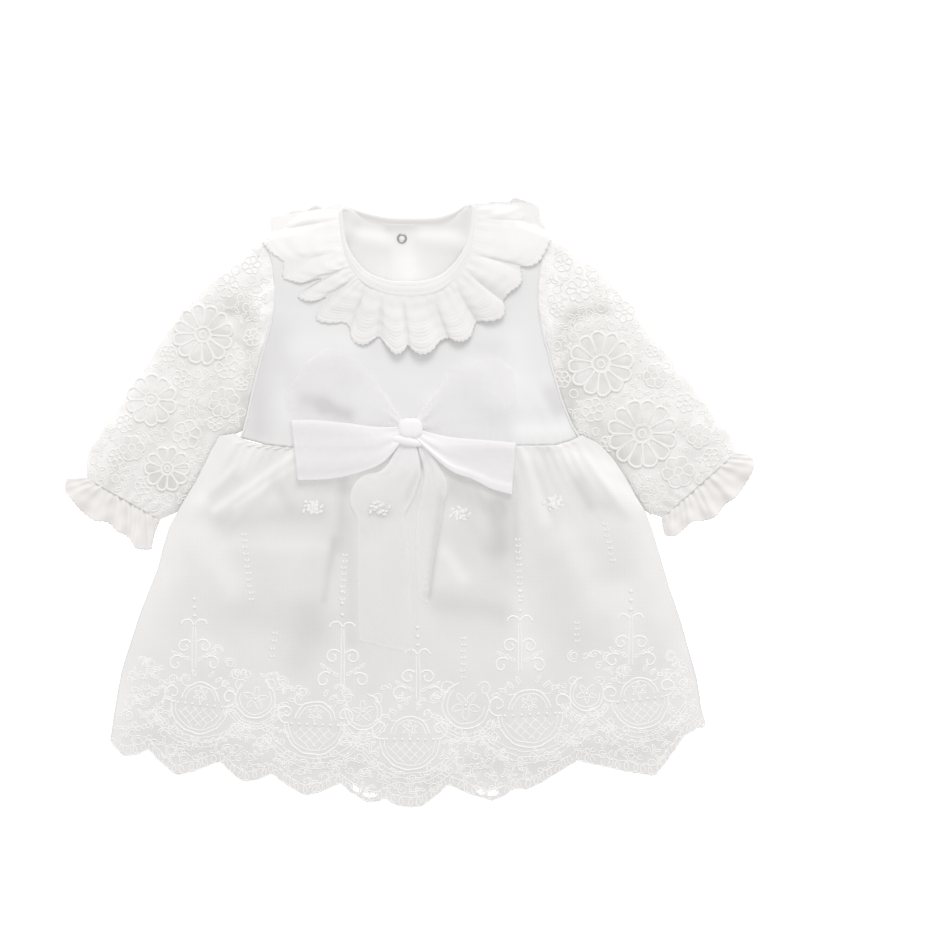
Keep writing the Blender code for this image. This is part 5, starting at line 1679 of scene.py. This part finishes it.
def makeBowLoop(which):
    rows = bowLoops[which]["rows"]
    top = relief("bow_loop_" + which, 1.5)
    upperSide = which.startswith("upper")

    def place(u, v):
        # u runs out along the lower layer, round the tip and back along the upper layer; v runs across
        turn = loopShape["turn"]
        half = 0.5 - turn
        if u < half:
            s, layer, beyond = u / half, 0, 0
        elif u > 1 - half:
            s, layer, beyond = (1 - u) / half, 1, 0
        else:
            angle = pi * (u - half) / (2 * turn)
            s, layer, beyond = 1, 0.5 - 0.5 * cos(angle), sin(angle)
        row = spline(rows, s)
        x, y = between(row[0:2], row[2:4], v)
        row = spline(rows, 0.97)
        px, py = between(row[0:2], row[2:4], v)
        if beyond:
            long = max(0.01, dist((x, y), (px, py)))
            x += (x - px) / long * 1.5 * beyond
            y += (y - py) / long * 1.5 * beyond
        low = bodiceFrontTop(x, y)
        low += (skirtTop(x, min(y, 42)) - low) * smoothStep((50 - y) / 12) + 0.45
        roof = top(x, y) if s < 0.97 else top(px, py)
        pleat = 0.55 * sin(tau * (2.5 * v + 0.1)) * exp(-s * 2.2) * smoothStep(s * 6)
        hemRoll = 0.2 * (bell(v - 0.03, 0.03) + bell(v - 0.97, 0.03))
        if which == "lower_right":
            # the ribbon folds over along its lower edge
            hemRoll += 0.8 * bell(v - 0.86, 0.07)
        high = roof + pleat + hemRoll
        if upperSide:
            # the upper loops stand fullest along the outer side of their turn
            full = bell(v - 0.2, 0.22) + 0.8 * bell(s - 0.9, 0.2)
            edge = smoothStep(min(v, 1 - v) * 7) * smoothStep((1.06 - s) * 7)
            own = low + 0.35 + (0.5 + 1.2 * full) * edge
            high = own + (high - own) * (1 - smoothStep(s / 0.35)) + pleat * 0.5
        return x, y, low + (max(high, low + 0.3) - low) * layer

    def rim(u, v):
        # how closely the weave covers: folds and the tip are densest
        s = min(u, 1 - u) * 2
        if upperSide:
            band = bell(v - 0.18, 0.2) + bell(s - 0.9, 0.2)
            soft = smoothStep(min(v, 1 - v) * 12) * (1 - 0.8 * bell(u - 0.5, 0.05))
            return (0.05 + 0.19 * tanh(1.3 * band)) * (0.4 + 0.6 * soft) + 0.5 * bell(s, 0.1)
        edge = bell(min(v, 1 - v), 0.06)
        root = bell(s, 0.28)
        folds = 0.5 + 0.5 * sin(tau * 1.6 * v + 2 * s)
        tip = bell(u - 0.5, 0.03)
        turned = bell(v - 0.88, 0.09) if which == "lower_right" else 0
        return min(1, 0.48 + 0.12 * folds + edge * 0.14 + tip * 0.15 + root * 0.4 + turned * 0.4)

    name = "bowLoop" + which.title().replace("_", "")
    piece = makeCloth(
        name, loopShape["along"], loopShape["across"], place, organza, "organza", ["bow_loop_" + which],
        size=(190, 45), rim=rim,
    )


for which in bowLoops:
    makeBowLoop(which)

# tails from the knot down: left edge x, y, right edge x, y
bowTails = {
    "left": [
        (-5.2, 52, 3.4, 52), (-19.6, 27.4, 8.4, 26.2), (-36.2, 21.6, 6.6, 16.9), (-44.7, 10.8, 3, 6.2),
        (-45.4, 0, -1.6, -3.1), (-40.4, -11.6, -4.6, -12.4), (-40.2, -36, -0.8, -36), (-40, -74, 0.8, -74),
        (-39.3, -105, 2, -115),
    ],
    "right": [
        (3.8, 50.8, 12, 44.2), (11.2, 24.2, 28, 18), (9, 7.4, 25.8, -0.8), (5.4, -8.6, 22.6, -20),
        (4.4, -31.6, 18.2, -43.4), (5.6, -54.8, 15.6, -62.4), (7.2, -72.4, 13.6, -77),
    ],
}


def alongSkirt(high, x, y):
    # lower down a tail follows the folds of the skirt
    low = skirtTop(x, min(y, 42)) + 0.35
    high = max(high, low)
    return high + (low + 0.25 - high) * smoothStep((10 - y) / 40)


def makeTail(side):
    rows = bowTails[side]
    top = relief("bow_tail_" + side, 1.5, 4)

    def place(u, v):
        lx, ly, rx, ry = spline(rows, u)
        x, y = between((lx, ly), (rx, ry), v)
        pleat = 0.5 * sin(tau * 2 * v + 0.6) * exp(-u * 3) * smoothStep(u * 8)
        roll = 0.2 * (bell(v - 0.03, 0.03) + bell(v - 0.97, 0.03))
        if side == "left":
            # one fold runs down from the knot
            pleat += 0.7 * bell(v - 0.78 - 0.3 * u, 0.1) * (1 - smoothStep((u - 0.2) / 0.25))
        return x, y, alongSkirt(top(x, y) + pleat, x, y) + roll * (1 - 0.5 * u)

    def rim(u, v):
        edge = bell(min(v, 1 - v), 0.04)
        puff = 1 - smoothStep((u - 0.5) / 0.1) if side == "left" else 0.4
        root = bell(u, 0.12)
        fade = 1 - smoothStep((u - 0.72) / 0.28) if side == "left" else 1
        return min(1, (0.38 + 0.14 * puff + 0.06 * edge + 0.4 * root) * (0.92 + 0.08 * fade))

    piece = makeCloth(
        side + "BowTail", 90, 24, place, organza, "organza", ["bow_tail_" + side], size=(160, 42), rim=rim,
    )
    return top


tailTop = makeTail("left")
makeTail("right")

# knot: a pillow of wrapped ribbon with folds across it
knot = {"x": 0.6, "y": 58.4, "halfWide": 9.4, "halfLong": 7.6}
# the turn of ribbon that comes out under the knot
underTurn = {"x": -2.6, "y": 48.4, "halfLong": 13, "halfWide": 3.6, "turn": -0.2}
knotLow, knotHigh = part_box("bow_knot")
bm = bmesh.new()
rise = knotHigh.z - knotLow.z
for vert in bmesh.ops.create_uvsphere(bm, u_segments=64, v_segments=36, radius=1)["verts"]:
    x, y, z = (copysign(abs(value) ** 0.72, value) for value in vert.co)
    fold = 1 + 0.03 * cos(9 * x + 3 * y)
    vert.co = Vector((
        (knot["x"] + knot["halfWide"] * x * fold) * mm,
        (knot["y"] + knot["halfLong"] * y * fold) * mm,
        knotLow.z + rise * (0.5 + 0.5 * z) * (1 - 0.04 * cos(7 * x) * (z > 0)),
    ))
addBall(
    bm, underTurn["x"], underTurn["y"], (knotLow.z + rise * 0.44) / mm, underTurn["halfLong"],
    underTurn["halfWide"], underTurn["turn"], rise * 0.42 / mm, 48, 24,
)
rimLayer = bm.verts.layers.float.new("rim")
for vert in bm.verts:
    vert[rimLayer] = 1
uvLayer = bm.loops.layers.uv.new("cloth")
for face in bm.faces:
    for loop in face.loops:
        loop[uvLayer].uv = (loop.vert.co.x, loop.vert.co.y)
bowKnot = keepPiece(bm, "bowKnot", organza, "organza", ["bow_knot"])

# one worked sprig lies on the left tail
makeBeads("tailSatinSprig", sprigAt(-23.6, -3), lambda x, y: alongSkirt(tailTop(x, y), x, y), "organza")
print("bow made")


# floor, light and camera

view = {"x": 50.05, "y": 22.3, "height": 2.036, "lens": 100}
floorMesh = bpy.data.meshes.new("floor")
bm = bmesh.new()
bmesh.ops.create_grid(bm, x_segments=1, y_segments=1, size=4)
bmesh.ops.translate(bm, vec=(0, 0, -0.0004), verts=bm.verts[:])
bm.to_mesh(floorMesh)
bm.free()
floor = bpy.data.objects.new("floor", floorMesh)
scene.collection.objects.link(floor)
paper = bpy.data.materials.new("paleStudioPaper")
paper.use_nodes = True
setInputs(paper.node_tree.nodes["Principled BSDF"], {
    "Base Color": (1, 1, 1, 1), "Roughness": 1, "Emission Color": (1, 1, 1, 1),
    "Emission Strength": 0.9,
})
floorMesh.materials.append(paper)

world = bpy.data.worlds.new("studio")
scene.world = world
world.use_nodes = True
setInputs(world.node_tree.nodes["Background"], {"Color": (1, 1, 1, 1), "Strength": 0.76})

softbox = {"place": (0.5, 3.8, 3.1), "size": (3, 2), "power": 100}
lamp = bpy.data.lights.new("windowSoftbox", "AREA")
lamp.shape = "RECTANGLE"
lamp.size, lamp.size_y = softbox["size"]
lamp.energy = softbox["power"]
lampHolder = bpy.data.objects.new("windowSoftbox", lamp)
lampHolder.location = softbox["place"]
lampHolder.rotation_euler = (-Vector(softbox["place"])).to_track_quat("-Z", "Y").to_euler()
scene.collection.objects.link(lampHolder)

camera = bpy.data.cameras.new("camera")
camera.lens = view["lens"]
camera.sensor_width = 36
cameraHolder = bpy.data.objects.new("camera", camera)
cameraHolder.location = (view["x"] * mm, view["y"] * mm, view["height"])
scene.collection.objects.link(cameraHolder)
scene.camera = cameraHolder
scene.view_settings.view_transform = "Standard"
print("light and camera ready")
